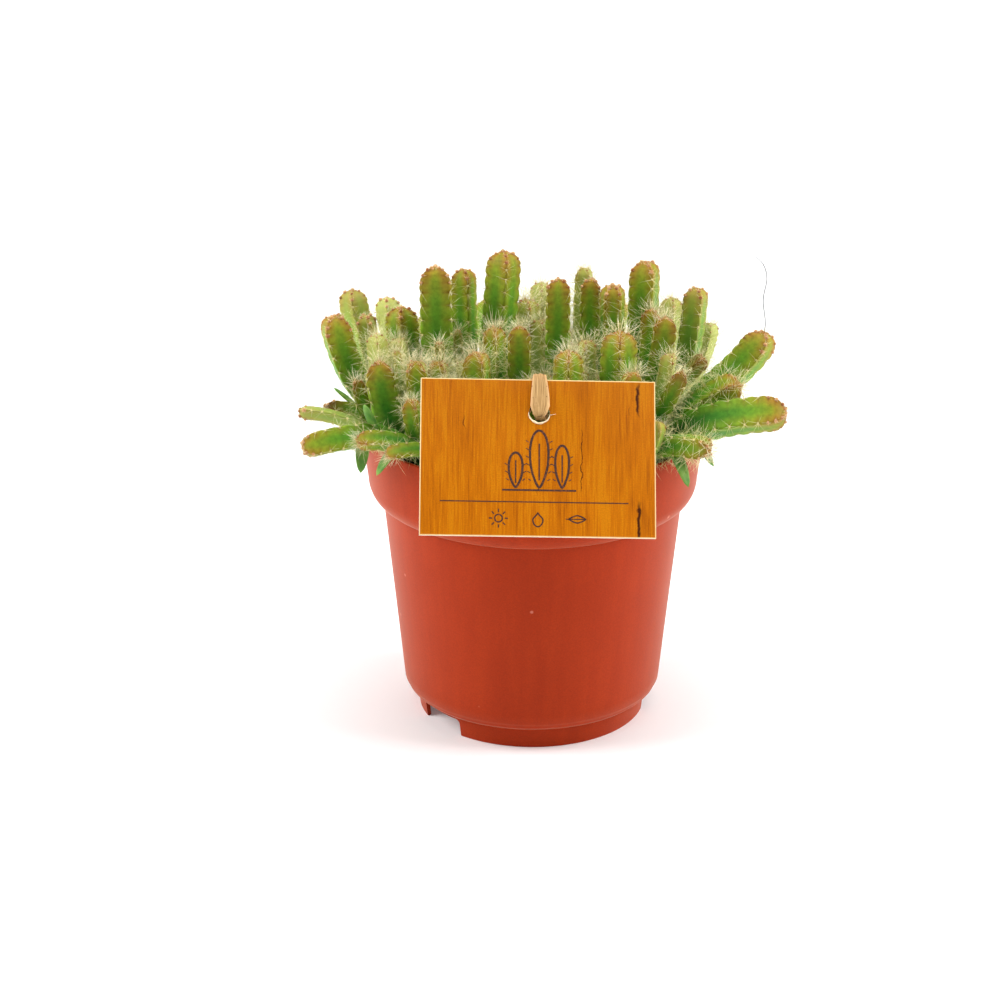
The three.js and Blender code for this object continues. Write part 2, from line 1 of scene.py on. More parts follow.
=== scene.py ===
# A 12 cm nursery pot of young dragon fruit stems with a wood-look card tag, dressed for rendering.
# Shapes are made in millimetres about the pot's axis, and addPiece turns them to metres.
import random
from bisect import bisect
from math import acos, atan2, copysign, cos, hypot, pi, radians, sin, sqrt, tan, tau

import bmesh
import bpy
from mathutils import Euler, Matrix, Vector, noise


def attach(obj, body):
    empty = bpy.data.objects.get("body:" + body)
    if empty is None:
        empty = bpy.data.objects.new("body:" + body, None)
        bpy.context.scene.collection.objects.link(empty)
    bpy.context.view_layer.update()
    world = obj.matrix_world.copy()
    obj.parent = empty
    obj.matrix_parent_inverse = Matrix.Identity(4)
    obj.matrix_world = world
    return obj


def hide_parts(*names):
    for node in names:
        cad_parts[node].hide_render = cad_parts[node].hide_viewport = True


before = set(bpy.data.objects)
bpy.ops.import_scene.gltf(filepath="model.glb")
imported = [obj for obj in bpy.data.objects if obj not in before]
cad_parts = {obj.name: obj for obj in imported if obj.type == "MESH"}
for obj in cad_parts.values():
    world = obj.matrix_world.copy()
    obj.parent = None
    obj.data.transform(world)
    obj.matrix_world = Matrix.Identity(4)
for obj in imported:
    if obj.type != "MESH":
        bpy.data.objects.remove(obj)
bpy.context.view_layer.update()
mm = 0.001
up = Vector((0, 0, 1))
print("frame loaded:", len(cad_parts), "nodes")

# the camera stands where the photographer stood, looking down on the pot with a long lens
cameraView = {
    "aim": (-11.55, 0, 77.54), "distance": 950, "elevation": 21.77, "lens": 96.24, "sensor": 36, "near": 50,
}


def placeCamera(view):
    camera = bpy.data.objects.new("camera", bpy.data.cameras.new("camera"))
    bpy.context.collection.objects.link(camera)
    rise = radians(view["elevation"])
    back = Vector((0, -cos(rise), sin(rise)))
    camera.location = (Vector(view["aim"]) + back * view["distance"]) * mm
    camera.rotation_euler = (radians(90) - rise, 0, 0)
    camera.data.lens = view["lens"]
    camera.data.sensor_width = view["sensor"]
    camera.data.clip_start = view["near"] * mm
    bpy.context.scene.camera = camera


placeCamera(cameraView)


# what every material uses
def linear(hexColour):
    channels = [int(hexColour[i:i + 2], 16) / 255 for i in (1, 3, 5)]
    return tuple(c / 12.92 if c <= 0.04045 else ((c + 0.055) / 1.055) ** 2.4 for c in channels) + (1,)


def newMaterial(name):
    material = bpy.data.materials.new(name)
    material.use_nodes = True
    return material, material.node_tree


# settings are sockets by name or number, else the node's own options, and "stops" fills a colour ramp.
# a link starts at a socket, or at a node, which stands for the first of its outputs that is in use
def setNode(tree, node, settings, links):
    for name, value in settings.items():
        if name == "stops":
            ramp = node.color_ramp.elements
            while len(ramp) < len(value):
                ramp.new(0.5)
            for element, (place, shade) in zip(ramp, value):
                element.position = place
                element.color = linear(shade) if isinstance(shade, str) else (shade, shade, shade, 1)
        elif isinstance(name, int) or name in node.inputs:
            node.inputs[name].default_value = linear(value) if isinstance(value, str) else value
        else:
            setattr(node, name, value)
    for name, source in links.items():
        if isinstance(source, bpy.types.Node):
            source = next(output for output in source.outputs if output.enabled)
        tree.links.new(source, node.inputs[name])


# a Mix of colours has its share in socket 0 and its two colours in sockets 6 and 7
def addNode(tree, kind, settings, links=None):
    node = tree.nodes.new("ShaderNode" + kind)
    setNode(tree, node, settings, links or {})
    return node


def finishMaterial(material, settings, links=None):
    tree = material.node_tree
    setNode(tree, tree.nodes["Principled BSDF"], settings, links or {})
    return material


# what every piece uses
def addPiece(name, shape, finishes, slotName, *replaced):
    mesh = bpy.data.meshes.new(name)
    shape.to_mesh(mesh)
    shape.free()
    mesh.transform(Matrix.Scale(mm, 4))
    for finish in finishes:
        mesh.materials.append(finish)
    piece = bpy.data.objects.new(name, mesh)
    bpy.context.collection.objects.link(piece)
    mesh.shade_smooth()
    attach(piece, "root")
    if replaced:
        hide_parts(*replaced)
    return piece


# cutters are subtracted from the piece for good, then edges over the angle stay sharp
def cutAndSmooth(piece, cutters, sharpAngle):
    tool = bpy.data.objects.new("cutter", bpy.data.meshes.new("cutter"))
    cutters.to_mesh(tool.data)
    cutters.free()
    tool.data.transform(Matrix.Scale(mm, 4))
    bpy.context.collection.objects.link(tool)
    cut = piece.modifiers.new("cut", "BOOLEAN")
    cut.object = tool
    cut.operation = "DIFFERENCE"
    cut.solver = "EXACT"
    bpy.context.view_layer.update()
    evaluated = piece.evaluated_get(bpy.context.evaluated_depsgraph_get())
    cutMesh = bpy.data.meshes.new_from_object(evaluated)
    piece.modifiers.clear()
    piece.data = cutMesh
    bpy.data.objects.remove(tool)
    piece.data.shade_smooth()
    piece.data.set_sharp_from_angle(angle=radians(sharpAngle))


# a closed turned shape from (radius, level) pairs that start and end on the axis
def turned(profile, steps):
    shape = bmesh.new()
    corners = [shape.verts.new((radius, 0, level)) for radius, level in profile]
    edges = [shape.edges.new(pair) for pair in zip(corners, corners[1:])]
    bmesh.ops.spin(shape, geom=corners + edges, cent=(0, 0, 0), axis=(0, 0, 1), dvec=(0, 0, 0),
                   angle=tau, steps=steps, use_merge=True)
    bmesh.ops.remove_doubles(shape, verts=shape.verts, dist=0.001)
    bmesh.ops.recalc_face_normals(shape, faces=shape.faces)
    return shape


# a small shape that is repeated: kept as a mesh, and copied in where the placing matrix says
def asTemplate(shape):
    template = bpy.data.meshes.new("template")
    shape.to_mesh(template)
    shape.free()
    return template


def copyInto(shape, template, placing):
    template.transform(placing)
    shape.from_mesh(template)
    template.transform(placing.inverted())


def turning(*angles):
    return Euler(angles).to_matrix().to_4x4()


def blend(low, high, share):
    return low + (high - low) * share


def smoothStep(value, low, high):
    share = min(max((value - low) / (high - low), 0), 1)
    return share * share * (3 - 2 * share)


# where a level is on a unit sphere, as the share of the way from its top pole to the bottom one
def poleShare(level):
    return acos(max(-1, min(1, level))) / pi


# a smooth curve from b to c through all four points: the place at t, and the way that it goes there
def curvePoint(a, b, c, d, t):
    bend = 2 * a - 5 * b + 4 * c - d
    twist = 3 * b - a - 3 * c + d
    return 0.5 * (2 * b + (c - a) * t + bend * t ** 2 + twist * t ** 3)


def curveAhead(a, b, c, d, t):
    bend = 2 * a - 5 * b + 4 * c - d
    twist = 3 * b - a - 3 * c + d
    return (0.5 * ((c - a) + bend * 2 * t + twist * 3 * t * t)).normalized()


def facesOf(verts):
    return {face for v in verts for face in v.link_faces}


# pot: injection-moulded polypropylene, satin, with mould lines and a few pale scuffs.
# a pair is (radius, level), an arch in the foot is (middle, width) in degrees
potForm = {
    "steps": 180, "arcSteps": 8,
    "foot": 40.7, "footTop": (41.6, 7.6), "mouldLine": (44.9, 9.9), "bodyLow": (46.0, 11.6),
    "bodyTop": (53.0, 81.1), "rimLow": (58.1, 88.7), "rim": 60.0, "height": 107.7, "wall": 1.3,
    "footWall": 1.6, "floorTop": 9.6, "floorUnderside": 8.1, "edge": 0.45, "line": 0.16, "footEdge": 0.3,
    "arches": ((-143, 28), (-2, 24), (112, 28)), "archHeight": 6.5, "archCorner": 1.6, "cutterDepth": 12,
    "drainHoles": 5, "drainRadius": 4.0, "drainCircle": 26.0,
}


def mouldedPolypropylene():
    # dyed plastic from a polished mould: even colour, soft gloss, fine flow streaks up the wall
    material, tree = newMaterial("mouldedPolypropylene")
    place = addNode(tree, "TexCoord", {}).outputs["Object"]
    # flow streaks run up the wall about 4 mm apart, and cloud over about 30 mm
    streakMap = addNode(tree, "Mapping", {"Scale": (250, 250, 8)}, {"Vector": place})
    streaks = addNode(tree, "TexNoise", {"Scale": 1, "Detail": 3}, {"Vector": streakMap})
    clouds = addNode(tree, "TexNoise", {"Scale": 34, "Detail": 2}, {"Vector": place})
    both = addNode(tree, "Math", {"operation": "MULTIPLY"}, {0: streaks, 1: clouds})
    dye = addNode(tree, "ValToRGB", {"stops": ((0.16, "#9D2C06"), (0.36, "#A43008"))}, {0: both})
    # pale scuffs of about 1 mm where pots have rubbed together, some 16 mm apart
    spots = addNode(tree, "TexVoronoi", {"Scale": 62}, {"Vector": place})
    scuff = addNode(tree, "ValToRGB", {"stops": ((0.028, 0.55), (0.05, 0.0))}, {0: spots})
    scuffed = addNode(tree, "Mix", {"data_type": "RGBA", 7: "#D98A74"}, {0: scuff, 6: dye})
    # dust and pits of about 0.5 mm, drawn as coarse as they need to show
    dust = addNode(tree, "TexNoise", {"Scale": 1900, "Detail": 1}, {"Vector": place})
    grit = addNode(tree, "MapRange", {"From Min": 0.3, "From Max": 0.7, "To Min": 0.9, "To Max": 1.1},
                   {"Value": dust})
    dusted = addNode(tree, "VectorMath", {"operation": "SCALE"}, {0: scuffed, "Scale": grit})
    # orange peel of the mould, about 1 mm
    peel = addNode(tree, "TexNoise", {"Scale": 900, "Detail": 2}, {"Vector": place})
    bump = addNode(tree, "Bump", {"Strength": 0.06, "Distance": 0.0002}, {"Height": peel})
    # wiped and rubbed, the wall turns whitish where it is seen at a low angle
    return finishMaterial(material, {"Roughness": 0.45, "Specular IOR Level": 0.07, "Sheen Weight": 0.3,
                                     "Sheen Roughness": 0.45, "Sheen Tint": "#FFCFAE"},
                          {"Base Color": dusted, "Normal": bump})


def potProfile(form):
    bodyTop, rimLow, wall, edge = form["bodyTop"], form["rimLow"], form["wall"], form["edge"]
    low, mould, line = form["bodyLow"], form["mouldLine"], form["line"]
    foot, footTop, footEdge = form["foot"], form["footTop"], form["footEdge"]
    footInside = foot - form["footWall"]
    arcSteps = form["arcSteps"]

    # the rounded step under the rim, a quarter of an ellipse
    def rimStep(inwards):
        points = []
        for i in range(arcSteps + 1):
            turn = i / arcSteps * pi / 2
            radius = blend(bodyTop[0], rimLow[0], sin(turn)) - inwards
            level = blend(rimLow[1], bodyTop[1], cos(turn)) + inwards * cos(turn)
            points.append((radius, level))
        return points

    def onWall(level):
        return blend(low[0], bodyTop[0], (level - low[1]) / (bodyTop[1] - low[1])), level

    # a rounded lip, as a half circle from the outside over to the inside
    lip = []
    for i in range(arcSteps + 1):
        turn = i / arcSteps * pi
        lip.append((form["rim"] - wall / 2 + wall / 2 * cos(turn), form["height"] - edge + edge * sin(turn)))
    return [
        (0, form["floorUnderside"]), (footTop[0] - form["footWall"], form["floorUnderside"]),
        (footInside + 0.1, footEdge), (footInside + 0.4, 0), (foot - footEdge, 0), (foot, footEdge),
        # the shoulder over the foot, with the fine raised line where the mould's halves met
        footTop, (blend(footTop[0], mould[0], 0.6), footTop[1] + 0.8),
        (mould[0] - 0.1, mould[1] - 0.5), (mould[0] + line, mould[1] - 0.2),
        (mould[0] + line + 0.1, mould[1] + 0.2), (mould[0] + 0.4, mould[1] + 0.5),
        (low[0] - 0.35, low[1] - 0.5), low, onWall(15), onWall(48), onWall(bodyTop[1] - 1.5),
        *rimStep(0),
        (form["rim"] - 0.02, form["height"] - 4),
        *lip,
        *reversed(rimStep(wall)),
        (low[0] - wall, low[1] + 2), (low[0] - wall - 1.8, form["floorTop"]), (0, form["floorTop"]),
    ]


def buildPot(form):
    shape = turned(potProfile(form), form["steps"])
    pot = addPiece("nurseryPot", shape, [mouldedPolypropylene()], "pot_plastic", "pot")
    cutters = bmesh.new()
    depth, top = form["cutterDepth"], form["archHeight"]
    for middle, width in form["arches"]:
        across = 2 * form["foot"] * tan(radians(width / 2))
        placing = Matrix.Rotation(radians(middle), 4, "Z") @ Matrix.Translation((form["foot"], 0, 0))
        placing @= Matrix.Diagonal((depth, across, 2 * top, 1))
        box = bmesh.ops.create_cube(cutters, size=1, matrix=placing)
        # the two upper edges that run through the wall are rounded
        edges = dict.fromkeys(e for v in box["verts"] for e in v.link_edges)
        corners = [e for e in edges if all(v.co.z > top - 0.1 for v in e.verts)
                   and abs(e.calc_length() - depth) < 0.1]
        bmesh.ops.bevel(cutters, geom=corners, offset=form["archCorner"], segments=4, profile=0.5,
                        affect="EDGES", material=-1)
    level, circle = (form["floorTop"] + form["floorUnderside"]) / 2, form["drainCircle"]
    for i in range(form["drainHoles"]):
        turn = (i + 0.5) * tau / form["drainHoles"]
        placing = Matrix.Translation((circle * cos(turn), circle * sin(turn), level))
        bmesh.ops.create_cone(cutters, cap_ends=True, segments=32, radius1=form["drainRadius"],
                              radius2=form["drainRadius"], depth=8, matrix=placing)
    cutAndSmooth(pot, cutters, 32)


buildPot(potForm)
print("pot done")

# soil: moist peat, its top uneven and crumbly, its outline (radius, level) along the pot's inside
soilForm = {
    "level": 98.6, "lumps": 0.7, "grains": 0.8, "radius": 57.0, "steps": 120, "rings": 34, "seed": 4,
    "outline": ((0, 9.9), (41.6, 9.9), (43.8, 13.6), (51.1, 82.9), (56.2, 89.7), (57.9, 98.0)),
    "crumbs": 1500, "crumbSize": (0.35, 1.3), "crumbKinds": 6, "roughness": 0.35,
}


def soilHeight(x, y):
    lumps = sin(0.35 * x + 1) * cos(0.31 * y) + 0.5 * sin(0.9 * x - 0.7 * y)
    grains = noise.noise(Vector((x, y, 0)) * 0.7) + 0.5 * noise.noise(Vector((x, y, 5)) * 1.7)
    return soilForm["level"] + soilForm["lumps"] * lumps + soilForm["grains"] * grains


def peat():
    # milled fibrous peat: nearly black brown when moist, matt, with paler dry fibres
    material, tree = newMaterial("moistPeat")
    place = addNode(tree, "TexCoord", {}).outputs["Object"]
    # crumbs of about 1 mm
    crumbs = addNode(tree, "TexNoise", {"Scale": 800, "Detail": 6, "Roughness": 0.7}, {"Vector": place})
    tint = addNode(tree, "ValToRGB", {"stops": ((0.3, "#120C08"), (0.55, "#2E2118"), (0.72, "#5A4532"))},
                   {0: crumbs})
    bump = addNode(tree, "Bump", {"Strength": 0.8, "Distance": 0.0008}, {"Height": crumbs})
    return finishMaterial(material, {"Roughness": 0.95}, {"Base Color": tint, "Normal": bump})


def buildSoil(form):
    soilMaterial = peat()
    rings = form["rings"]
    top = [(form["radius"] * (1 - i / rings), form["level"]) for i in range(rings + 1)]
    shape = turned([*form["outline"], *top], form["steps"])
    for v in shape.verts:
        if v.co.z > form["level"] - 0.3:
            v.co.z = soilHeight(v.co.x, v.co.y)
    addPiece("peatFill", shape, [soilMaterial], "potting_soil", "soil")

    pick = random.Random(form["seed"])
    grains = []
    for i in range(form["crumbKinds"]):
        grain = bmesh.new()
        bmesh.ops.create_icosphere(grain, subdivisions=1, radius=1)
        for v in grain.verts:
            v.co *= 1 + form["roughness"] * noise.noise(v.co * 1.3 + Vector((i * 7, 0, 0)))
        grains.append(asTemplate(grain))
    crumbs = bmesh.new()
    for i in range(form["crumbs"]):
        radius = form["radius"] * sqrt(pick.random())
        turn = pick.uniform(0, tau)
        x, y = radius * cos(turn), radius * sin(turn)
        size = pick.uniform(*form["crumbSize"])
        placing = Matrix.Translation((x, y, soilHeight(x, y) + 0.2 * size))
        placing @= turning(pick.uniform(0, 3), pick.uniform(0, 3), 0)
        placing @= Matrix.Diagonal((size, size * pick.uniform(0.5, 1), size * pick.uniform(0.4, 0.8), 1))
        copyInto(crumbs, grains[i % len(grains)], placing)
    addPiece("peatCrumbs", crumbs, [soilMaterial], "potting_soil")


buildSoil(soilForm)
print("soil done")

# seedlings: three to five ribs with scalloped edges, felted areoles with fine spines in the notches,
# and a tuft of young bristles on each crown. a row gives the place of the crown, the girth from axis
# to rib, the place of the root, the ribs and their turn in degrees. after these comes what sets one
# apart: how far it rises from the soil before it turns to its crown, the share of its lean that it
# has by then, and how bristly (hair), pale and downy (pale), brown (rust) and tufted (tuft) it is
seedlingTable = (
    # Left side, from the rim inwards.
    ((-69, -1, 146.5), 6.7, (-50, 4), 4, -28, {"rise": 18, "out": 0.8, "tuft": 0.5}),
    ((-64, 24, 148), 5.3, (-46, 22), 4, 0, {"pale": 0.35, "tuft": 0.5}),
    ((-58.5, 9, 143.5), 3.9, (-46, 14), 4, 30, {"pale": 0.3, "tuft": 0.6}),
    ((-52.5, 42, 139.5), 4.8, (-37, 34), 4, 0, {"hair": 1.7, "pale": 0.8, "tuft": 0.6}),
    ((-46.5, 18, 143.5), 6.0, (-40, 14), 4, 0, {"tuft": 0.5}),
    ((-34, 8, 161.5), 6.5, (-32, 4), 3, 90, {"tuft": 0.45}),
    ((-24.5, 26, 155), 5.0, (-23, 23), 4, 20, {"tuft": 0.45}),
    ((-54, -8, 142), 3.8, (-46, -6), 4, 5, {"hair": 1.8, "pale": 0.7, "tuft": 0.9}),
    ((-47, 4, 136.5), 4.3, (-40, 2), 3, 40, {"hair": 1.9, "pale": 0.6, "tuft": 0.9}),
    ((-52.5, -22, 137), 5.9, (-43.5, -17.5), 3, 90, {"tuft": 0.75}),
    ((-40, -25, 138), 5.0, (-35, -21), 4, 45, {"hair": 1.5, "tuft": 1.1}),
    ((-33, -15, 134.5), 5.0, (-28, -11), 4, 40, {"hair": 1.3, "tuft": 1.1}),
    ((-19.5, -24, 141), 5.4, (-18, -22), 4, 25, {"hair": 1.3, "tuft": 0.8}),
    ((-60.5, -18, 129), 3.2, (-49, -14.5), 3, 0, {"hair": 1.4, "rust": 0.4, "tuft": 0.9}),
    ((-41.5, -38, 129), 3.6, (-35, -29), 4, 30, {"tuft": 0.8}),
    # Left side, low over the rim.
    ((-80.5, -20, 118), 2.9, (-48, -22), 3, 60, {"rise": 20.5, "out": 0.6, "pale": 0.5, "tuft": 0.5}),
    ((-71.5, -16, 118), 3.4, (-51, -7.5), 4, 10, {"rise": 16, "out": 0.2, "rust": 0.8, "tuft": 0.7}),
    ((-78, -42, 113), 5.7, (-42, -29), 4, 0, {"rise": 20, "out": 0.25, "tuft": 0.5}),
    ((-59.5, -46, 117), 3.7, (-36, -37), 4, 20, {"rise": 18, "out": 0.3, "tuft": 0.85}),
    ((-49.5, -52, 114), 3.2, (-29, -41), 3, 50, {"rise": 17, "out": 0.2, "tuft": 0.85}),
    # Middle.
    ((-10, 16, 164.5), 6.4, (-15.5, 16), 4, 10, {"out": 0.55, "tuft": 0.4}),
    ((-2, 32, 142), 4.8, (-2, 30), 4, 15, {"hair": 1.5, "pale": 0.4, "tuft": 1.3}),
    ((3.5, 46, 144), 4.2, (1, 41), 4, 0, {"hair": 1.7, "pale": 0.6, "tuft": 1}),
    ((8.5, 0, 159.5), 5.0, (8, 0), 3, 90, {"tuft": 0.6}),
    ((18.5, 36, 152.5), 4.1, (16, 33), 4, 35, {"hair": 1.6, "pale": 0.5, "tuft": 0.8}),
    ((20.5, 16, 154.5), 4.2, (19, 16), 3, 80, {"tuft": 0.7}),
    ((27.5, 4, 156), 4.8, (26, 4), 5, 18, {"tuft": 0.6}),
    ((39, 14, 161.5), 6.3, (37, 13), 4, 25, {"tuft": 0.45}),
    ((-13.5, -6, 144), 4.2, (-13, -6), 4, 10, {"hair": 1.4, "tuft": 1.1}),
    ((-5, -19, 148.5), 4.6, (-5, -18), 3, 90, {"tuft": 0.85}),
    ((11.5, -30, 143.5), 5.2, (10, -28), 4, 0, {"hair": 1.3, "tuft": 0.9}),
    ((18, -13, 141.5), 3.8, (17, -12), 3, 20, {"hair": 1.6, "pale": 0.4, "tuft": 1.2}),
    ((29, -20, 147), 6.4, (27, -17), 4, 0, {"tuft": 1}),
    ((33, -35, 137.5), 4.8, (29, -31), 4, 50, {"hair": 1.3, "tuft": 0.9}),
    ((2.5, 14, 140), 4.2, (4, 14), 3, 50, {"hair": 1.6, "pale": 0.5, "tuft": 1.2}),
    # Right side, from the rim inwards.
    ((50, 34, 142), 4.4, (41, 29), 4, 10, {"hair": 1.6, "pale": 0.5, "tuft": 0.9}),
    ((57, 12, 152.5), 5.0, (48, 12), 4, 20, {"pale": 0.2, "tuft": 0.45}),
    ((63, 20, 137), 4.2, (47, 20), 3, 30, {"hair": 1.9, "pale": 0.9, "tuft": 0.9}),
    ((41, 2, 148), 4.0, (38, 1), 3, 75, {"hair": 1.6, "tuft": 1.1}),
    ((45, -12, 149.5), 4.8, (33, -8), 3, 90, {"tuft": 0.9}),
    ((58.5, -12, 135), 3.6, (41, -7), 3, 0, {"rise": 24, "out": 0.4, "hair": 1.5, "rust": 0.5, "tuft": 0.75}),
    ((46, -26, 141), 3.5, (34, -15.5), 3, 45, {"hair": 1.7, "pale": 0.4, "tuft": 1.1}),
    ((49.5, -36, 138), 3.4, (36, -23), 3, 80,
     {"rise": 20, "out": 0.5, "hair": 1.5, "rust": 0.4, "tuft": 0.75}),
    ((41, -44.5, 123.5), 3.7, (31, -39.5), 4, 20, {"hair": 1.7, "pale": 0.3, "tuft": 1}),
    # Right side, leaning far out.
    ((80.5, 2, 139.5), 6.8, (49, 3), 4, 10, {"rise": 23.5, "out": 0.8, "tuft": 0.6}),
    ((70, -23, 129), 6.0, (48, -10), 4, 45, {"rise": 20.5, "out": 0.4, "hair": 1.3, "tuft": 0.9}),
    ((84.5, -39, 124.5), 7.1, (43.5, -26), 4, -8, {"rise": 21.3, "out": 0.25, "tuft": 0.6}),
    ((58.5, -49.5, 115), 4.9, (38, -34.5), 4, 0,
     {"rise": 17, "out": 0.2, "hair": 1.5, "rust": 0.3, "tuft": 1.2}),
    # Front, behind the tag. The second one carries it.
    ((-17, -45, 122), 4.5, (-14, -39), 4, 15, {"tuft": 1.1}),
    ((-1, -36.5, 135.5), 4.6, (-2, -36), 4, 0, {"tuft": 0.9}),
    ((22, -45, 122), 4.6, (16, -41), 4, 35, {"tuft": 1.1}),
    # Back.
    ((-40, 62, 126), 5.4, (-26, 39), 4, 20, {"rise": 20, "out": 0.4, "tuft": 0.8}),
    ((-17, 68, 130), 5.8, (-12, 46), 4, 5, {"rise": 21, "out": 0.4, "tuft": 0.8}),
    ((10, 69, 125), 5.2, (9, 47), 3, 30, {"rise": 20, "out": 0.4, "tuft": 0.8}),
    ((33, 66, 129), 5.8, (25, 40), 4, 40, {"rise": 21, "out": 0.4, "tuft": 0.8}),
    ((56, 50, 127), 5.4, (35, 38), 4, 10, {"rise": 20, "out": 0.4, "tuft": 0.8}),
)
seedlings = [dict(zip(("tip", "girth", "root", "ribs", "turn"), row), **row[5]) for row in seedlingTable]
tagHolder = 49

# fleshy seed leaves: the seedling that one grows on, counted from 0, the share of the way up it,
# where the leaf's tip lies, and how far it arches
seedLeaves = (
    (17, 0.52, (-58.5, -42, 104), 4), (18, 0.5, (-53, -47, 105), 4), (17, 0.42, (-57, -37.5, 127), 1),
    (16, 0.5, (-69, -12, 124), 1), (19, 0.3, (-38, -47, 112), 2), (47, 0.5, (51.5, -50, 102), 5),
    (46, 0.3, (61, -36, 104), 4), (53, 0.45, (3, 66, 106), 4), (51, 0.45, (-41, 52, 106), 4),
    (55, 0.45, (57, 36, 107), 4),
)

stemForm = {
    # how deep it is rooted, where its curve starts, and how it rises and leans when its row doesn't say
    "rooted": 8.5, "start": 100.2, "rise": 0.35, "out": 0.85, "curveSteps": 60,
    # the girth low down as a share, where it is full, the dome's length in girths, and the topmost
    # areole's distance from the tip in girths
    "neck": 0.58, "swellEnd": 0.55, "dome": 1.0, "bluntness": 2.5, "crown": 0.12,
    # the valley's radius by the number of ribs, and the steps across: crest 0, valley 1, next crest 2
    "valley": {3: 0.56, 4: 0.69, 5: 0.79}, "acrossRib": (0, 0.12, 0.3, 0.6, 1, 1.4, 1.7, 1.88),
    "lobe": 5.3, "crownLobe": 1.3, "lobeGrowth": 1.38, "lobeDepth": 0.11, "bareFoot": 0.1,
    # where the rows of a long lobe, a short one, the foot and the dome lie
    "longLobe": (0, 0.14, 0.35, 0.62, 0.86), "shortLobe": (0, 0.3, 0.7), "footRows": (0.3, 0.65),
    "domeRows": (0, 0.35, 0.65, 0.88), "leafWidth": 4.8, "leafThickness": 1.5,
}

# what the flesh's colours go by: the share of the way up, of the way to a rib's crest, how downy
# the seedling is, how brown its crown, and how near an areole is
stemLayers = ("along", "ridge", "pale", "rust", "areole")

# tufts by where they grow: how many spines, their lengths, how far they spread (degrees), the radius
# of the patch that they stand on, how many cushions of what radius are under them, and the number of
# the cushions' finish in skins, which the spines' follows
spineForm = {
    "seed": 11, "variants": 8, "radius": 0.075, "hairRadius": 0.05, "hairBend": 0.5,
    "hairy": ("downy", "brush", "crown"), "goldenTurn": 2.4, "sizes": (0.8, 1.15), "proud": 0.05,
    # the longest spines of a tuft at full size, on the ribs and in the crown, and the girth it needs
    "reach": 7, "crownReach": 8, "fullGirth": 6,
    # from what tuft a crown is a brush, from what hair a stem is downy, and where its dome begins
    "brushFrom": 0.7, "downyFrom": 1.2, "domeFrom": 0.2,
    "kinds": {
        "old": (8, (2.2, 6.0), 84, 0.2, 1, 0.4, 1), "downy": (15, (3.0, 8.5), 84, 0.35, 1, 0.42, 1),
        "young": (9, (0.8, 2.4), 76, 0.3, 1, 0.66, 3), "brush": (11, (3.0, 8.0), 66, 0.35, 1, 0.5, 3),
        "bud": (26, (0.8, 2.4), 66, 2.0, 8, 0.55, 3), "crown": (34, (3.5, 8.5), 58, 2.0, 8, 0.5, 3),
    },
}


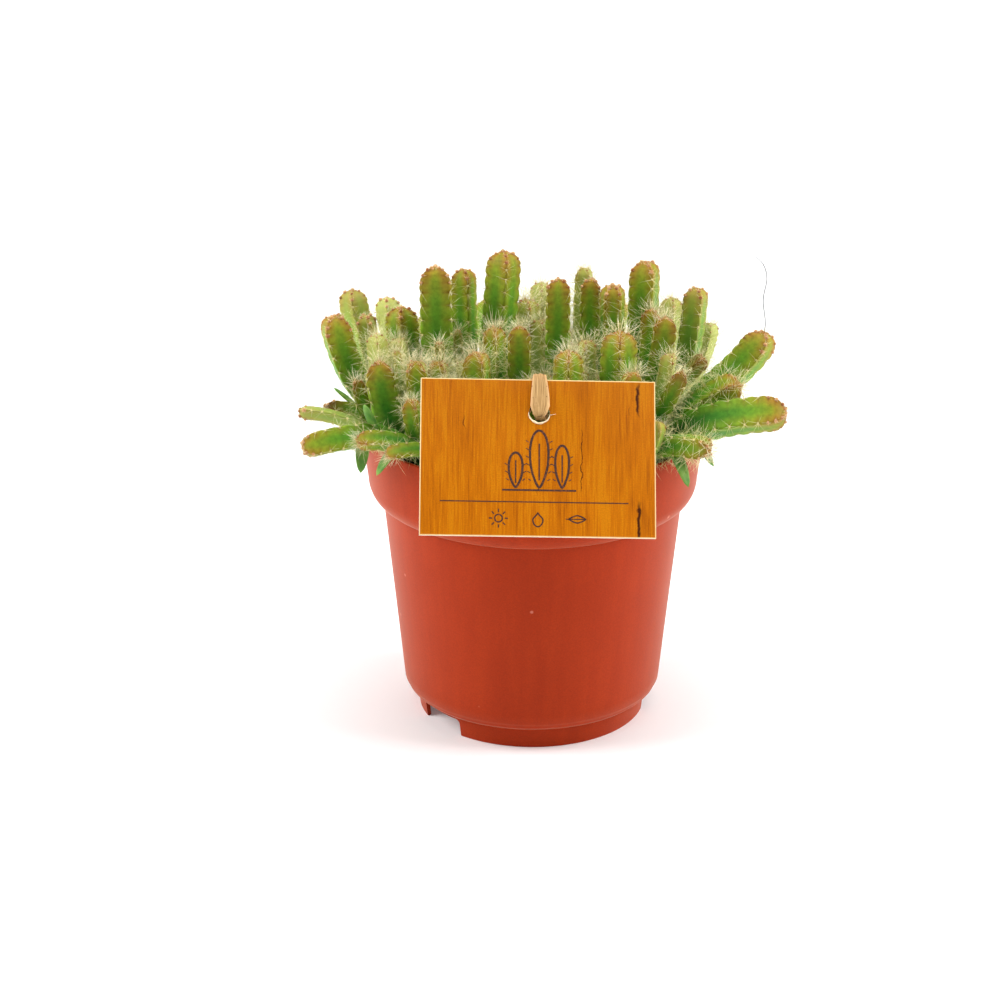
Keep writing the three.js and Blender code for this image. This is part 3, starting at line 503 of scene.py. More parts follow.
def cactusFlesh():
    # water-filled green skin under a thin wax bloom: soft gloss, light glows a little way in,
    # deep green low down and in the valleys, bronzed by the sun at the crown and along the ribs.
    # the foot is darkened further as painted shade where the stems crowd together, the valleys'
    # darker green is partly painted shade, and the crests' lighter green is partly a painted highlight
    material, tree = newMaterial("waxyCactusFlesh")
    along, ridge, pale, rust, areole = (
        addNode(tree, "Attribute", {"attribute_name": name}).outputs["Fac"] for name in stemLayers)
    place = addNode(tree, "TexCoord", {}).outputs["Object"]
    # patches of about 6 mm shift where one green turns to the next
    patches = addNode(tree, "TexNoise", {"Scale": 170, "Detail": 3}, {"Vector": place})
    shift = addNode(tree, "Math", {"operation": "MULTIPLY_ADD", 1: 0.16, 2: -0.08}, {0: patches})
    height = addNode(tree, "Math", {"operation": "ADD"}, {0: along, 1: shift})
    # the valleys' greens, deepest at the foot: the skin's own deep green, darkened further by painted shade
    valley = addNode(tree, "ValToRGB", {"stops": (
        (0.0, "#1B3B18"), (0.3, "#2E6224"), (0.58, "#498A29"), (0.8, "#6B9A28"), (0.93, "#8A9829"),
        (1.0, "#9C822A"))}, {0: height})
    # the crests' greens, lighter than the valleys': partly the skin's tone, partly a painted highlight along
    # the ribs
    crest = addNode(tree, "ValToRGB", {"stops": (
        (0.0, "#2C5A20"), (0.35, "#528C2B"), (0.65, "#7EA42D"), (0.86, "#979A2B"), (0.97, "#A27C2D"))},
        {0: height})
    flank = addNode(tree, "MapRange", {
        "interpolation_type": "SMOOTHSTEP", "From Min": 0.15, "From Max": 0.85}, {"Value": ridge})
    green = addNode(tree, "Mix", {"data_type": "RGBA"}, {0: flank, 6: valley, 7: crest})
    # a dark brown line painted down each rib's edge near the top: painted shade where the edges catch shadow
    edge = addNode(tree, "MapRange", {"From Min": 0.86, "From Max": 1.0, "To Max": 0.25}, {"Value": ridge})
    upper = addNode(tree, "MapRange", {"From Min": 0.6, "From Max": 0.95}, {"Value": height})
    line = addNode(tree, "Math", {"operation": "MULTIPLY"}, {0: edge, 1: upper})
    lined = addNode(tree, "Mix", {"data_type": "RGBA", 7: "#5B3418"}, {0: line, 6: green})
    # rust-brown spots about the areoles, stronger towards the crown
    young = addNode(tree, "MapRange", {"From Min": 0.35, "From Max": 0.9, "To Min": 0.1, "To Max": 0.6},
                    {"Value": height})
    spot = addNode(tree, "Math", {"operation": "MULTIPLY"}, {0: areole, 1: young})
    spotted = addNode(tree, "Mix", {"data_type": "RGBA", 7: "#87481C"}, {0: spot, 6: lined})
    # veins and freckles of about 1.5 mm
    freckles = addNode(tree, "TexNoise", {"Scale": 650, "Detail": 4, "Roughness": 0.65}, {"Vector": place})
    mottle = addNode(tree, "MapRange", {"From Min": 0.3, "From Max": 0.7, "To Min": 0.74, "To Max": 1.18},
                     {"Value": freckles})
    mottled = addNode(tree, "VectorMath", {"operation": "SCALE"}, {0: spotted, "Scale": mottle})
    # some crowns have gone dark brown
    top = addNode(tree, "MapRange", {"From Min": 0.72, "From Max": 0.96}, {"Value": height})
    scorch = addNode(tree, "Math", {"operation": "MULTIPLY"}, {0: rust, 1: top})
    browned = addNode(tree, "Mix", {"data_type": "RGBA", 7: "#5C3A22"}, {0: scorch, 6: mottled})
    # young seedlings are lighter and greyer under their down
    downy = addNode(tree, "Mix", {"data_type": "RGBA", 7: "#B8BE6A"}, {0: pale, 6: browned})
    # the skin's tiny pits, drawn as coarse as they need to show, about 0.4 mm
    pits = addNode(tree, "TexNoise", {"Scale": 2600, "Detail": 2}, {"Vector": place})
    bump = addNode(tree, "Bump", {"Strength": 0.12, "Distance": 0.0002}, {"Height": pits})
    return finishMaterial(material, {"Roughness": 0.5, "Specular IOR Level": 0.12, "Subsurface Weight": 0.2,
                                     "Subsurface Scale": 0.0012, "Subsurface Radius": (0.8, 1.0, 0.2)},
                          {"Base Color": downy, "Normal": bump})


def seedLeafFlesh():
    # the fleshy first pair of leaves: smooth, matt, even grass green in patches of about 4 mm
    material, tree = newMaterial("seedLeafFlesh")
    place = addNode(tree, "TexCoord", {}).outputs["Object"]
    patches = addNode(tree, "TexNoise", {"Scale": 260, "Detail": 3}, {"Vector": place})
    tint = addNode(tree, "ValToRGB", {"stops": ((0.3, "#4C8238"), (0.7, "#83A94A"))}, {0: patches})
    return finishMaterial(material, {"Roughness": 0.5, "Specular IOR Level": 0.25, "Subsurface Weight": 0.2,
                                     "Subsurface Scale": 0.001, "Subsurface Radius": (0.8, 1.0, 0.2)},
                          {"Base Color": tint})


def hairMaterial(name, low, high):
    # dry spines and felt: straw-like, pale, slightly glossy, the shade shifting over about 3 mm
    material, tree = newMaterial(name)
    place = addNode(tree, "TexCoord", {}).outputs["Object"]
    mottle = addNode(tree, "TexNoise", {"Scale": 320, "Detail": 1}, {"Vector": place})
    tint = addNode(tree, "ValToRGB", {"stops": ((0.35, low), (0.65, high))}, {0: mottle})
    return finishMaterial(material, {"Roughness": 0.6, "Specular IOR Level": 0.3}, {"Base Color": tint})


# one spine: a thin straight cone, or a finer hair that bends to one side
def addSpine(tuft, length, bend, placing):
    if not bend:
        placing = placing @ Matrix.Translation((0, 0, length / 2))
        return bmesh.ops.create_cone(tuft, cap_ends=True, segments=3, radius1=spineForm["radius"], radius2=0,
                                     depth=length, matrix=placing)["verts"]
    radius = spineForm["hairRadius"]
    hair = bmesh.ops.create_uvsphere(tuft, u_segments=3, v_segments=3, radius=1)["verts"]
    for v in hair:
        share = (v.co.z + 1) / 2
        v.co = placing @ Vector((v.co.x * radius + bend * share ** 2, v.co.y * radius, share * length))
    return hair


# spines that spread from a felt cushion, or from a patch of cushions where a stem still grows
def tuftTemplate(pick, kind, form):
    count, lengths, spread, patch, cushions, felt, feltIndex = form["kinds"][kind]
    tuft = bmesh.new()
    for i in range(cushions):
        turn, out = form["goldenTurn"] * i, patch * 0.85 * sqrt(i / cushions)
        foot = Matrix.Translation((out * cos(turn), out * sin(turn), -0.2 * out))
        bmesh.ops.create_icosphere(tuft, subdivisions=1, radius=felt * pick.uniform(0.8, 1.25), matrix=foot)
    for face in tuft.faces:
        face.material_index = feltIndex
    for i in range(count):
        out = sqrt((i + 0.5) / count)
        turn = form["goldenTurn"] * i + pick.uniform(-0.3, 0.3)
        lean = radians(spread * (out + pick.uniform(-0.25, 0.25)))
        length = pick.uniform(*lengths)
        foot = Vector((cos(turn), sin(turn), -0.25 * out)) * out * patch
        placing = Matrix.Translation(foot) @ turning(0, lean, turn)
        # three in five of a hairy tuft are bent
        bent = kind in form["hairy"] and i % 5 > 1
        bend = length * pick.uniform(-form["hairBend"], form["hairBend"]) if bent else 0
        for face in facesOf(addSpine(tuft, length, bend, placing)):
            face.material_index = feltIndex + 1
    return asTemplate(tuft)


# the middle line of a stem: straight up out of the soil, out, and up to its tip
def stemLine(plant, form):
    root, tip = Vector((*plant["root"], form["start"])), Vector(plant["tip"])
    rise = plant.get("rise", form["rise"] * (tip.z - soilForm["level"]))
    above = root + up * rise / 2
    below = root.lerp(tip, plant.get("out", form["out"]))
    below.z = soilForm["level"] + rise
    points, directions, reach = [], [], [0.0]
    steps = form["curveSteps"]
    for i in range(steps + 1):
        t = i / steps
        s = 1 - t
        points.append(root * s ** 3 + above * 3 * s * s * t + below * 3 * s * t * t + tip * t ** 3)
        ahead = (above - root) * s * s + (below - above) * 2 * s * t + (tip - below) * t * t
        directions.append(ahead.normalized())
        if i:
            reach.append(reach[-1] + (points[i] - points[i - 1]).length)
    return {"points": points, "directions": directions, "reach": reach, "length": reach[-1]}


def placeAlong(line, distance):
    points, reach = line["points"], line["reach"]
    if distance <= 0:
        return points[0] + up * distance, up
    i = min(bisect(reach, distance), len(points) - 1) - 1
    share = min((distance - reach[i]) / (reach[i + 1] - reach[i]), 1)
    ahead = line["directions"][i].lerp(line["directions"][i + 1], share).normalized()
    return points[i].lerp(points[i + 1], share), ahead


def stemFrame(line, distance):
    point, ahead = placeAlong(line, distance)
    return point, ahead, up.rotation_difference(ahead)


def stemRadius(plant, length, distance, form):
    share = min(max(distance / length, 0), 1)
    swell = plant["girth"] * blend(form["neck"], 1, smoothStep(share, 0, form["swellEnd"]))
    dome = min(form["dome"] * plant["girth"], 0.5 * length)
    intoDome = min(max((distance - length + dome) / dome, 0), 1)
    return swell * sqrt(1 - intoDome ** form["bluntness"])


# the ribs rise out of the round neck over the lowest fifth of a stem
def ribShare(distance, length):
    return smoothStep(distance, 0, 0.2 * length)


# the areoles stand close together in the crown and lobe apart lower down
def areoleLevels(plant, length, form):
    lobe = form["lobe"] * min(1, 0.5 + plant["girth"] / 9)
    level, step, levels = length - form["crown"] * plant["girth"], form["crownLobe"], []
    while level > form["bareFoot"] * length:
        levels.append(level)
        step = min(step * form["lobeGrowth"], lobe)
        level -= step
    return levels[::-1]


def lobeShare(levels, distance):
    if distance <= levels[0] or distance >= levels[-1]:
        return 1
    i = next(i for i, level in enumerate(levels) if level > distance)
    return (distance - levels[i - 1]) / (levels[i] - levels[i - 1])


# the levels that a stem's rings of vertices lie at, closer together in the notches and in the dome
def stemRows(length, levels, form):
    rows = [-form["rooted"], -form["rooted"] * 0.5, 0.0]
    rows += [levels[0] * share for share in form["footRows"]]
    for low, high in zip(levels, levels[1:]):
        shares = form["longLobe"] if high - low > 3 else form["shortLobe"]
        rows += [blend(low, high, share) for share in shares]
    return rows + [blend(levels[-1], length, share) for share in form["domeRows"]] + [length]


def growStem(shape, plant, line, levels, form):
    length, ribs = line["length"], plant["ribs"]
    rows = stemRows(length, levels, form)
    last = len(rows) - 1
    across = [rib + share / 2 for rib in range(ribs) for share in form["acrossRib"]]
    tube = bmesh.ops.create_uvsphere(shape, u_segments=len(across), v_segments=last, radius=1)
    along, ridge, pale, rust, areole = (shape.verts.layers.float.get(name) for name in stemLayers)
    for v in tube["verts"]:
        row = last - round(poleShare(v.co.z) * last)
        column = round(atan2(v.co.y, v.co.x) / tau * len(across)) % len(across)
        fromCrest = across[column] % 1 * 2
        fromCrest = min(fromCrest, 2 - fromCrest)
        distance = rows[row]
        point, ahead, tilt = stemFrame(line, distance)
        ribbed = ribShare(distance, length)
        # flat faces like a prism's between the ribs, drawn in to the valley's share of the radius
        flat = cos(pi / ribs)
        bulge = (flat / cos(pi / ribs * (1 - fromCrest)) - flat) / (1 - flat)
        section = blend(form["valley"][ribs], 1, bulge)
        lobe = lobeShare(levels, distance)
        notch = 1 - sin(pi * lobe) ** 0.7 if 0 < lobe < 1 else float(distance > levels[0])
        notch *= ribbed * (1 - fromCrest) ** 3 * form["lobeDepth"]
        radius = stemRadius(plant, length, distance, form) * blend(1, section, ribbed) * (1 - notch)
        turn = radians(plant["turn"] + across[column] * 360 / ribs)
        outwards = tilt @ Vector((cos(turn), sin(turn), 0))
        v.co = point if row in (0, last) else point + outwards * radius
        v[along] = min(max(distance / length, 0), 1)
        v[ridge] = (1 - fromCrest) * ribbed
        v[pale] = plant.get("pale", 0)
        v[rust] = plant.get("rust", 0)
        nearAreole = (1 - sin(pi * lobe)) ** 2 * (1 - fromCrest) ** 2
        v[areole] = nearAreole if levels[0] < distance < length else 0


def growSeedLeaf(shape, line, start, tip, arch, form):
    foot = placeAlong(line, start * line["length"])[0]
    tip = Vector(tip)
    middle = foot.lerp(tip, 0.5) + up * arch
    pod = bmesh.ops.create_uvsphere(shape, u_segments=16, v_segments=14, radius=1)["verts"]
    for v in pod:
        x, y, z = v.co
        t = poleShare(-z)
        point = foot * (1 - t) ** 2 + middle * 2 * t * (1 - t) + tip * t * t
        along = ((middle - foot) * (1 - t) + (tip - middle) * t).normalized()
        side = along.cross(up).normalized()
        over = side.cross(along)
        taper = sqrt(sin(pi * t)) if 0 < t < 1 else 0
        ring = Vector((x, y)).normalized()
        groove = 0.5 * max(0, ring.y) * (1 - abs(ring.x)) ** 2
        v.co = (point + side * ring.x * taper * form["leafWidth"] / 2
                + over * (ring.y * taper * form["leafThickness"] / 2 - groove * taper))
    for face in facesOf(pod):
        face.material_index = leafSkin


# where the card and its tie are, for the pieces that have to stay clear of them
tagForm = {
    "width": 78.1, "height": 53.3, "thickness": 0.8, "middle": (1.0, -56.1, 114.9),
    "turn": 3.6, "lean": -33.7, "skew": 2.3, "hole": (0.4, 15.2), "holeRadius": 3.5, "edge": 0.12,
    "lip": 0.34, "lipSpan": (172, 350), "whisker": 2.4,
}
# "around" is the share of the way up the seedling that carries the card, "clear" the room to its ribs
tieForm = {
    "thickness": 0.28, "level": 127.5, "steps": 150, "across": 8, "curl": 0.95, "crease": 0.16,
    "spread": 3.2, "halfLength": 35, "around": 0.72, "clear": 1.2,
}

tagPose = Matrix.Translation(tagForm["middle"]) @ Matrix.Rotation(radians(tagForm["turn"]), 4, "Z")
tagPose = tagPose @ Matrix.Rotation(radians(tagForm["lean"]), 4, "X")
tagPose = tagPose @ Matrix.Rotation(radians(tagForm["skew"]), 4, "Y")
toTag = tagPose.inverted()


def onTag(x, y, z):
    return tagPose @ Vector((x, y, z))


# the raffia's route: through the hole, round the seedling behind the card, over its top edge
# and down its front, as (point, width, direction of the width)
def tieStations(form):
    holder = seedlings[tagHolder]
    line = stemLine(holder, stemForm)
    middle = placeAlong(line, form["around"] * line["length"])[0]
    middle.z = form["level"]
    around = holder["girth"] + form["clear"]
    x, hole = tagForm["hole"]
    edge, away = tagForm["height"] / 2, tagForm["thickness"] / 2 + 0.85
    level = onTag(1, 0, 0) - onTag(0, 0, 0)

    def onCard(along, out, height, width):
        return onTag(x + along, out, height), width, level

    def behind(*step):
        return middle + Vector(step), 2.4, up

    return [
        onCard(0, 0, hole - 1.1, 3.4), onCard(1.4, 2.4, hole - 1.6, 3.2),
        behind(around - 0.2, -3.5, 0), behind(around - 0.6, 2.4, 0), behind(0, around, 0),
        behind(0.6 - around, 2.4, 0.3), behind(0.2 - around, -3.5, 0.8),
        onCard(-4.2, 2.6, hole + 1.2, 2.4), onCard(-2.4, 1.6, edge - 5, 3.2),
        onCard(-0.4, away, edge - 0.6, 4.2), onCard(0, 0, edge + away + 0.7, 4.2),
        onCard(0.1, -away, edge - 0.4, 4.9), onCard(0.2, -away, edge - 5, 6.0),
        onCard(0.2, -away - 0.3, hole + 2.4, 6.5), onCard(0.1, -away - 0.1, hole - 0.3, 4.6),
    ]


# a smooth closed curve through the stations: point, direction, width and width's direction
def alongTie(stations, share):
    count = len(stations)
    place = share * count
    i = int(place) % count
    t = place - int(place)
    spots = [Vector(stations[(i + k) % count][0]) for k in (-1, 0, 1, 2)]
    here, after = stations[i], stations[(i + 1) % count]
    width, level = blend(here[1], after[1], t), here[2].lerp(after[2], t)
    return curvePoint(*spots, t), curveAhead(*spots, t), width, level


stations = tieStations(tieForm)
tieRoute = [alongTie(stations, i / 60)[0] for i in range(60)]
spineRoom = {"cardHalf": (42, 29), "card": 0.6, "tie": 1.2, "wallRadius": 59, "wall": 1.5, "least": 0.25}


# how far a spine may reach at this spot before it meets the card, its tie or the pot's wall
def freeReach(spot, form):
    local = toTag @ spot
    reaches = [min((spot - point).length for point in tieRoute) - form["tie"]]
    if abs(local.x) < form["cardHalf"][0] and abs(local.z) < form["cardHalf"][1]:
        reaches.append(abs(local.y) - form["card"])
    if spot.z < potForm["height"] + 1:
        reaches.append(abs(hypot(spot.x, spot.y) - form["wallRadius"]) - form["wall"])
    return max(0.0, min(reaches))


# a tuft's scale, or a smaller one where its longest spines would meet something
def fitted(size, spot, longest):
    return min(size, max(spineRoom["least"], freeReach(spot, spineRoom) / longest))


def placeTuft(shape, choices, spot, tilt, size, pick):
    placing = Matrix.Translation(spot) @ tilt.to_matrix().to_4x4()
    placing @= Matrix.Rotation(pick.uniform(0, tau), 4, "Z") @ Matrix.Scale(size, 4)
    copyInto(shape, pick.choice(choices), placing)


# tall stems end in small bristly buds, short ones in long brushes
def growSpines(shape, plant, line, levels, tufts, pick):
    length, ribs, hair, brush = line["length"], plant["ribs"], plant.get("hair", 1), plant.get("tuft", 1)
    brushed = brush > spineForm["brushFrom"]
    stature = blend(0.75, 1, min(plant["girth"] / spineForm["fullGirth"], 1))
    for level in levels:
        point, ahead, tilt = stemFrame(line, level)
        notch = ribShare(level, length) * stemForm["lobeDepth"]
        radius = stemRadius(plant, length, level, stemForm) * (1 - notch)
        inDome = smoothStep(level, length - 1.1 * plant["girth"], length)
        for rib in range(ribs):
            turn = radians(plant["turn"] + rib * 360 / ribs)
            outwards = tilt @ Vector((cos(turn), sin(turn), 0))
            spot = point + outwards * (radius + spineForm["proud"])
            # the tufts face outwards, and turn up to the tip in the dome
            face = (outwards + ahead * (0.25 + 1.4 * inDome)).normalized()
            if inDome > spineForm["domeFrom"]:
                kind, size = ("brush", stature * brush) if brushed else ("young", 1)
            else:
                kind, size = ("downy" if hair > spineForm["downyFrom"] else "old"), stature * hair ** 0.3
            size = fitted(size * pick.uniform(*spineForm["sizes"]), spot, spineForm["reach"])
            placeTuft(shape, tufts[kind], spot, up.rotation_difference(face), size, pick)
    tip, ahead, tilt = stemFrame(line, length)
    size = fitted(plant["girth"] / spineForm["fullGirth"], tip, spineForm["crownReach"])
    placeTuft(shape, tufts["crown" if brushed else "bud"], tip - ahead * 0.25, tilt, size, pick)


skins = [
    cactusFlesh(),
    hairMaterial("areoleFelt", "#D2C880", "#F0E4A4"), hairMaterial("strawSpine", "#D0CC7C", "#F6F0BA"),
    hairMaterial("youngAreoleFelt", "#94562A", "#D0A06E"), hairMaterial("youngBristle", "#E6DA9C", "#FFF8D0"),
    seedLeafFlesh(),
]
leafSkin = len(skins) - 1


def makeTufts(form):
    pick = random.Random(form["seed"])
    return {kind: [tuftTemplate(pick, kind, form) for i in range(form["variants"])] for kind in form["kinds"]}


def newStemShape():
    shape = bmesh.new()
    for name in stemLayers:
        shape.verts.layers.float.new(name)
    return shape


def buildSeedling(index, plant, tufts):
    pick = random.Random(100 + index)
    line = stemLine(plant, stemForm)
    levels = areoleLevels(plant, line["length"], stemForm)
    shape = newStemShape()
    growStem(shape, plant, line, levels, stemForm)
    for on, start, tip, arch in seedLeaves:
        if on == index:
            growSeedLeaf(shape, line, start, tip, arch, stemForm)
    growSpines(shape, plant, line, levels, tufts, pick)
    name = f"{index + 1:02d}"
    addPiece("dragonFruitSeedling" + name, shape, skins, "cactus_stem", "seedling_" + name)
    return line


tufts = makeTufts(spineForm)
grown = [(plant, buildSeedling(index, plant, tufts)) for index, plant in enumerate(seedlings)]
print("seedlings done:", len(grown))

# late sprouts: small downy seedlings low down in the gaps, wherever a stem has room
sproutForm = {
    "seed": 23, "tries": 2200, "perPiece": 26, "girth": (1.6, 3.0), "height": (11, 40), "lean": (0, 0.35),
    "reach": 51, "hair": (1.0, 1.8), "pale": (0.1, 0.6), "tuft": (0.72, 1.1), "rust": (0, 0, 0.5),
    # room to other stems, to the rim as (radius, over the rim), and to the card from its middle
    "clear": 0.4, "rimRoom": (55, 3), "cardRoom": (43, 5, -30),
}


def hasRoom(plant, line, neighbours, form):
    for step in range(9):
        point = placeAlong(line, line["length"] * step / 8)[0]
        for other, otherLine in neighbours:
            for k in range(0, stemForm["curveSteps"] + 1, 5):
                # roots may stand close, and the lowest third of a stem a little closer than its girth
                both = other["girth"] + plant["girth"] + form["clear"]
                room = both if k else 0.6 * other["girth"] + plant["girth"]
                if (otherLine["points"][k] - point).length < room * (0.8 if k < 20 else 1):
                    return False
        if hypot(point.x, point.y) > form["rimRoom"][0] and point.z < potForm["height"] + form["rimRoom"][1]:
            return False
        local = toTag @ point
        across, away, lowest = form["cardRoom"]
        if abs(local.x) < across and local.z > lowest and abs(local.y) < away:
            return False
    return True


def growSprouts(form):
    pick = random.Random(form["seed"])
    neighbours, sprouts = list(grown), []
    for i in range(form["tries"]):
        turn, radius = pick.uniform(0, tau), form["reach"] * sqrt(pick.random())
        x, y = radius * cos(turn), radius * sin(turn)
        height = pick.uniform(*form["height"])
        lean = height * pick.uniform(*form["lean"])
        tip = (x + lean * cos(turn), y + lean * sin(turn), stemForm["start"] + height)
        plant = {
            "tip": tip, "girth": pick.uniform(*form["girth"]), "root": (x, y), "ribs": pick.choice((3, 4)),
            "turn": pick.uniform(0, 90), "hair": pick.uniform(*form["hair"]),
            "pale": pick.uniform(*form["pale"]), "tuft": pick.uniform(*form["tuft"]),
            "rust": pick.choice(form["rust"]),
        }
        line = stemLine(plant, stemForm)
        if hasRoom(plant, line, neighbours, form):
            neighbours.append((plant, line))
            sprouts.append((plant, line))
    for first in range(0, len(sprouts), form["perPiece"]):
        shape = newStemShape()
        for plant, line in sprouts[first:first + form["perPiece"]]:
            levels = areoleLevels(plant, line["length"], stemForm)
            sprout = newStemShape()
            growStem(sprout, plant, line, levels, stemForm)
            growSpines(sprout, plant, line, levels, tufts, pick)
            copyInto(shape, asTemplate(sprout), Matrix.Identity(4))
        addPiece(f"lateSprouts{first // form['perPiece'] + 1}", shape, skins, "cactus_stem")
    return len(sprouts)


print("late sprouts done:", growSprouts(sproutForm))

# card tag: offset-printed board with a wood look, leaning on the rim. printed bars are (middle x,
# middle y, length, width) from the card's middle, checks are (place across, lowest point, highest
# point, width) from its lower left corner
printForm = {
    "rule": (-1.2, -15.0, 62.3, 0.36), "ground": (0.4, -11.0, 24.5, 0.6), "lift": 0.045,
    # clubs of the plant drawing: middle, foot, width and height, with the line's width
    "clubs": ((0.4, -10.4, 7.0, 20.0), (-7.4, -10.4, 5.4, 12.4), (8.0, -10.4, 5.4, 15.0)), "line": 0.75,
    "spineGap": 2.6, "spine": (1.1, 0.28), "signs": -20.6, "signGap": 13.0, "signLine": 0.46,
    "checks": (
        (72.3, 40.7, 53.3, 0.75), (72.4, -2, 12.9, 0.7), (53.5, 15, 37, 0.22), (14.5, 35.5, 41.3, 0.25),
        (69.5, 41, 45, 0.22), (39.0, 13.5, 19, 0.2),
    ),
    "paleEdgeLine": (0.4, 0.28),
}


def woodPrint(form):
    # four-colour print of stained boards under a satin varnish: bright orange with fine upright
    # grain, dark drying checks, and a cream line painted round the edge
    material, tree = newMaterial("woodLookPrint")
    place = addNode(tree, "UVMap", {"uv_map": "print"})
    size = (tagForm["width"], tagForm["height"])
    spot = addNode(tree, "Mapping", {"Scale": (*size, 1)}, {"Vector": place})
    across, height = addNode(tree, "SeparateXYZ", {}, {0: spot}).outputs[:2]
    # straight grain lines about 0.6 mm apart and 15 mm long, over bands of about 7 mm
    grainMap = addNode(tree, "Mapping", {"Scale": (1.7, 0.07, 1)}, {"Vector": spot})
    grain = addNode(tree, "TexNoise", {"Scale": 1, "Detail": 3, "Roughness": 0.5, "Distortion": 0.1},
                    {"Vector": grainMap})
    bandMap = addNode(tree, "Mapping", {"Scale": (0.14, 0.02, 1)}, {"Vector": spot})
    bands = addNode(tree, "TexNoise", {"Scale": 1, "Detail": 2}, {"Vector": bandMap})
    tone = addNode(tree, "Math", {"operation": "MULTIPLY_ADD", 1: 0.8}, {0: bands, 2: grain})
    stain = addNode(tree, "ValToRGB", {"stops": (
        (0.6, "#9C5006"), (0.78, "#B86504"), (0.92, "#C26D05"), (1.0, "#C97808"))}, {0: tone})
    # short brown pores, 0.4 mm wide and 5 mm long
    poreMap = addNode(tree, "Mapping", {"Scale": (2.4, 0.22, 1)}, {"Vector": spot})
    pores = addNode(tree, "TexNoise", {"Scale": 1, "Detail": 3}, {"Vector": poreMap})
    flecks = addNode(tree, "MapRange", {"From Min": 0.62, "From Max": 0.8, "To Max": 0.5}, {"Value": pores})
    pored = addNode(tree, "Mix", {"data_type": "RGBA", 7: "#7A3A0C"}, {0: flecks, 6: stain})
    # printing dots of 0.4 mm, and painted shade that darkens the card towards its top, where the lamps light
    # it more
    dots = addNode(tree, "TexNoise", {"Scale": 2.2, "Detail": 2}, {"Vector": spot})
    paintedShadeToTop = addNode(tree, "MapRange", {"From Max": size[1], "To Min": 1.02, "To Max": 0.78},
                     {"Value": height})
    shade = addNode(tree, "Math", {"operation": "MULTIPLY_ADD", 1: 0.5}, {0: dots, 2: paintedShadeToTop})
    toned = addNode(tree, "Math", {"operation": "SUBTRACT", 1: 0.25}, {0: shade})
    colour = addNode(tree, "VectorMath", {"operation": "SCALE"}, {0: pored, "Scale": toned})
    # drying checks, which wander 2.6 mm from side to side
    wander = addNode(tree, "TexNoise", {"Scale": 0.35, "Detail": 4}, {"Vector": spot})
    for middle, low, high, wide in form["checks"]:
        bent = addNode(tree, "Math", {"operation": "MULTIPLY_ADD", 1: 2.6, 2: middle - 1.3}, {0: wander})
        off = addNode(tree, "Math", {"operation": "SUBTRACT"}, {0: across, 1: bent})
        side = addNode(tree, "Math", {"operation": "ABSOLUTE"}, {0: off})
        core = addNode(tree, "MapRange", {"From Min": wide, "From Max": wide * 0.3}, {"Value": side})
        rise = addNode(tree, "MapRange", {"From Min": low, "From Max": low + 2.5}, {"Value": height})
        fall = addNode(tree, "MapRange", {"From Min": high, "From Max": high - 3}, {"Value": height})
        ends = addNode(tree, "Math", {"operation": "MULTIPLY"}, {0: rise, 1: fall})
        mask = addNode(tree, "Math", {"operation": "MULTIPLY"}, {0: core, 1: ends})
        colour = addNode(tree, "Mix", {"data_type": "RGBA", 7: "#431E08"}, {0: mask, 6: colour})
    # a cream line 0.4 mm wide is painted all round the card's edge
    inner, outer = form["paleEdgeLine"]
    for output, length in ((across, size[0]), (height, size[1])):
        middle = addNode(tree, "Math", {"operation": "SUBTRACT", 1: length / 2}, {0: output})
        out = addNode(tree, "Math", {"operation": "ABSOLUTE"}, {0: middle})
        rim = addNode(tree, "MapRange", {"From Min": length / 2 - inner, "From Max": length / 2 - outer},
                      {"Value": out})
        colour = addNode(tree, "Mix", {"data_type": "RGBA", 7: "#EBCB8C"}, {0: rim, 6: colour})
    return finishMaterial(material, {"Roughness": 0.5, "Specular IOR Level": 0.07}, {"Base Color": colour})


def greyBoard(name, low, high):
    # unprinted board: warm white, matt, with the felted fibre of its pulp about 1 mm long
    material, tree = newMaterial(name)
    place = addNode(tree, "TexCoord", {}).outputs["Object"]
    fibre = addNode(tree, "TexNoise", {"Scale": 900, "Detail": 4}, {"Vector": place})
    tint = addNode(tree, "ValToRGB", {"stops": ((0.35, low), (0.65, high))}, {0: fibre})
    return finishMaterial(material, {"Roughness": 0.85}, {"Base Color": tint})


def printInk():
    # dark brown ink on the print, a little starved where the rollers ran dry, in specks under 1 mm
    material, tree = newMaterial("brownPrintInk")
    place = addNode(tree, "TexCoord", {}).outputs["Object"]
    starved = addNode(tree, "TexNoise", {"Scale": 1500, "Detail": 2}, {"Vector": place})
    tint = addNode(tree, "ValToRGB", {"stops": ((0.54, "#3A1A08"), (0.74, "#7A3F10"))}, {0: starved})
    return finishMaterial(material, {"Roughness": 0.55}, {"Base Color": tint})


def placeOnTag(piece):
    piece.data.transform(Matrix.Scale(mm, 4) @ tagPose @ Matrix.Scale(1 / mm, 4))


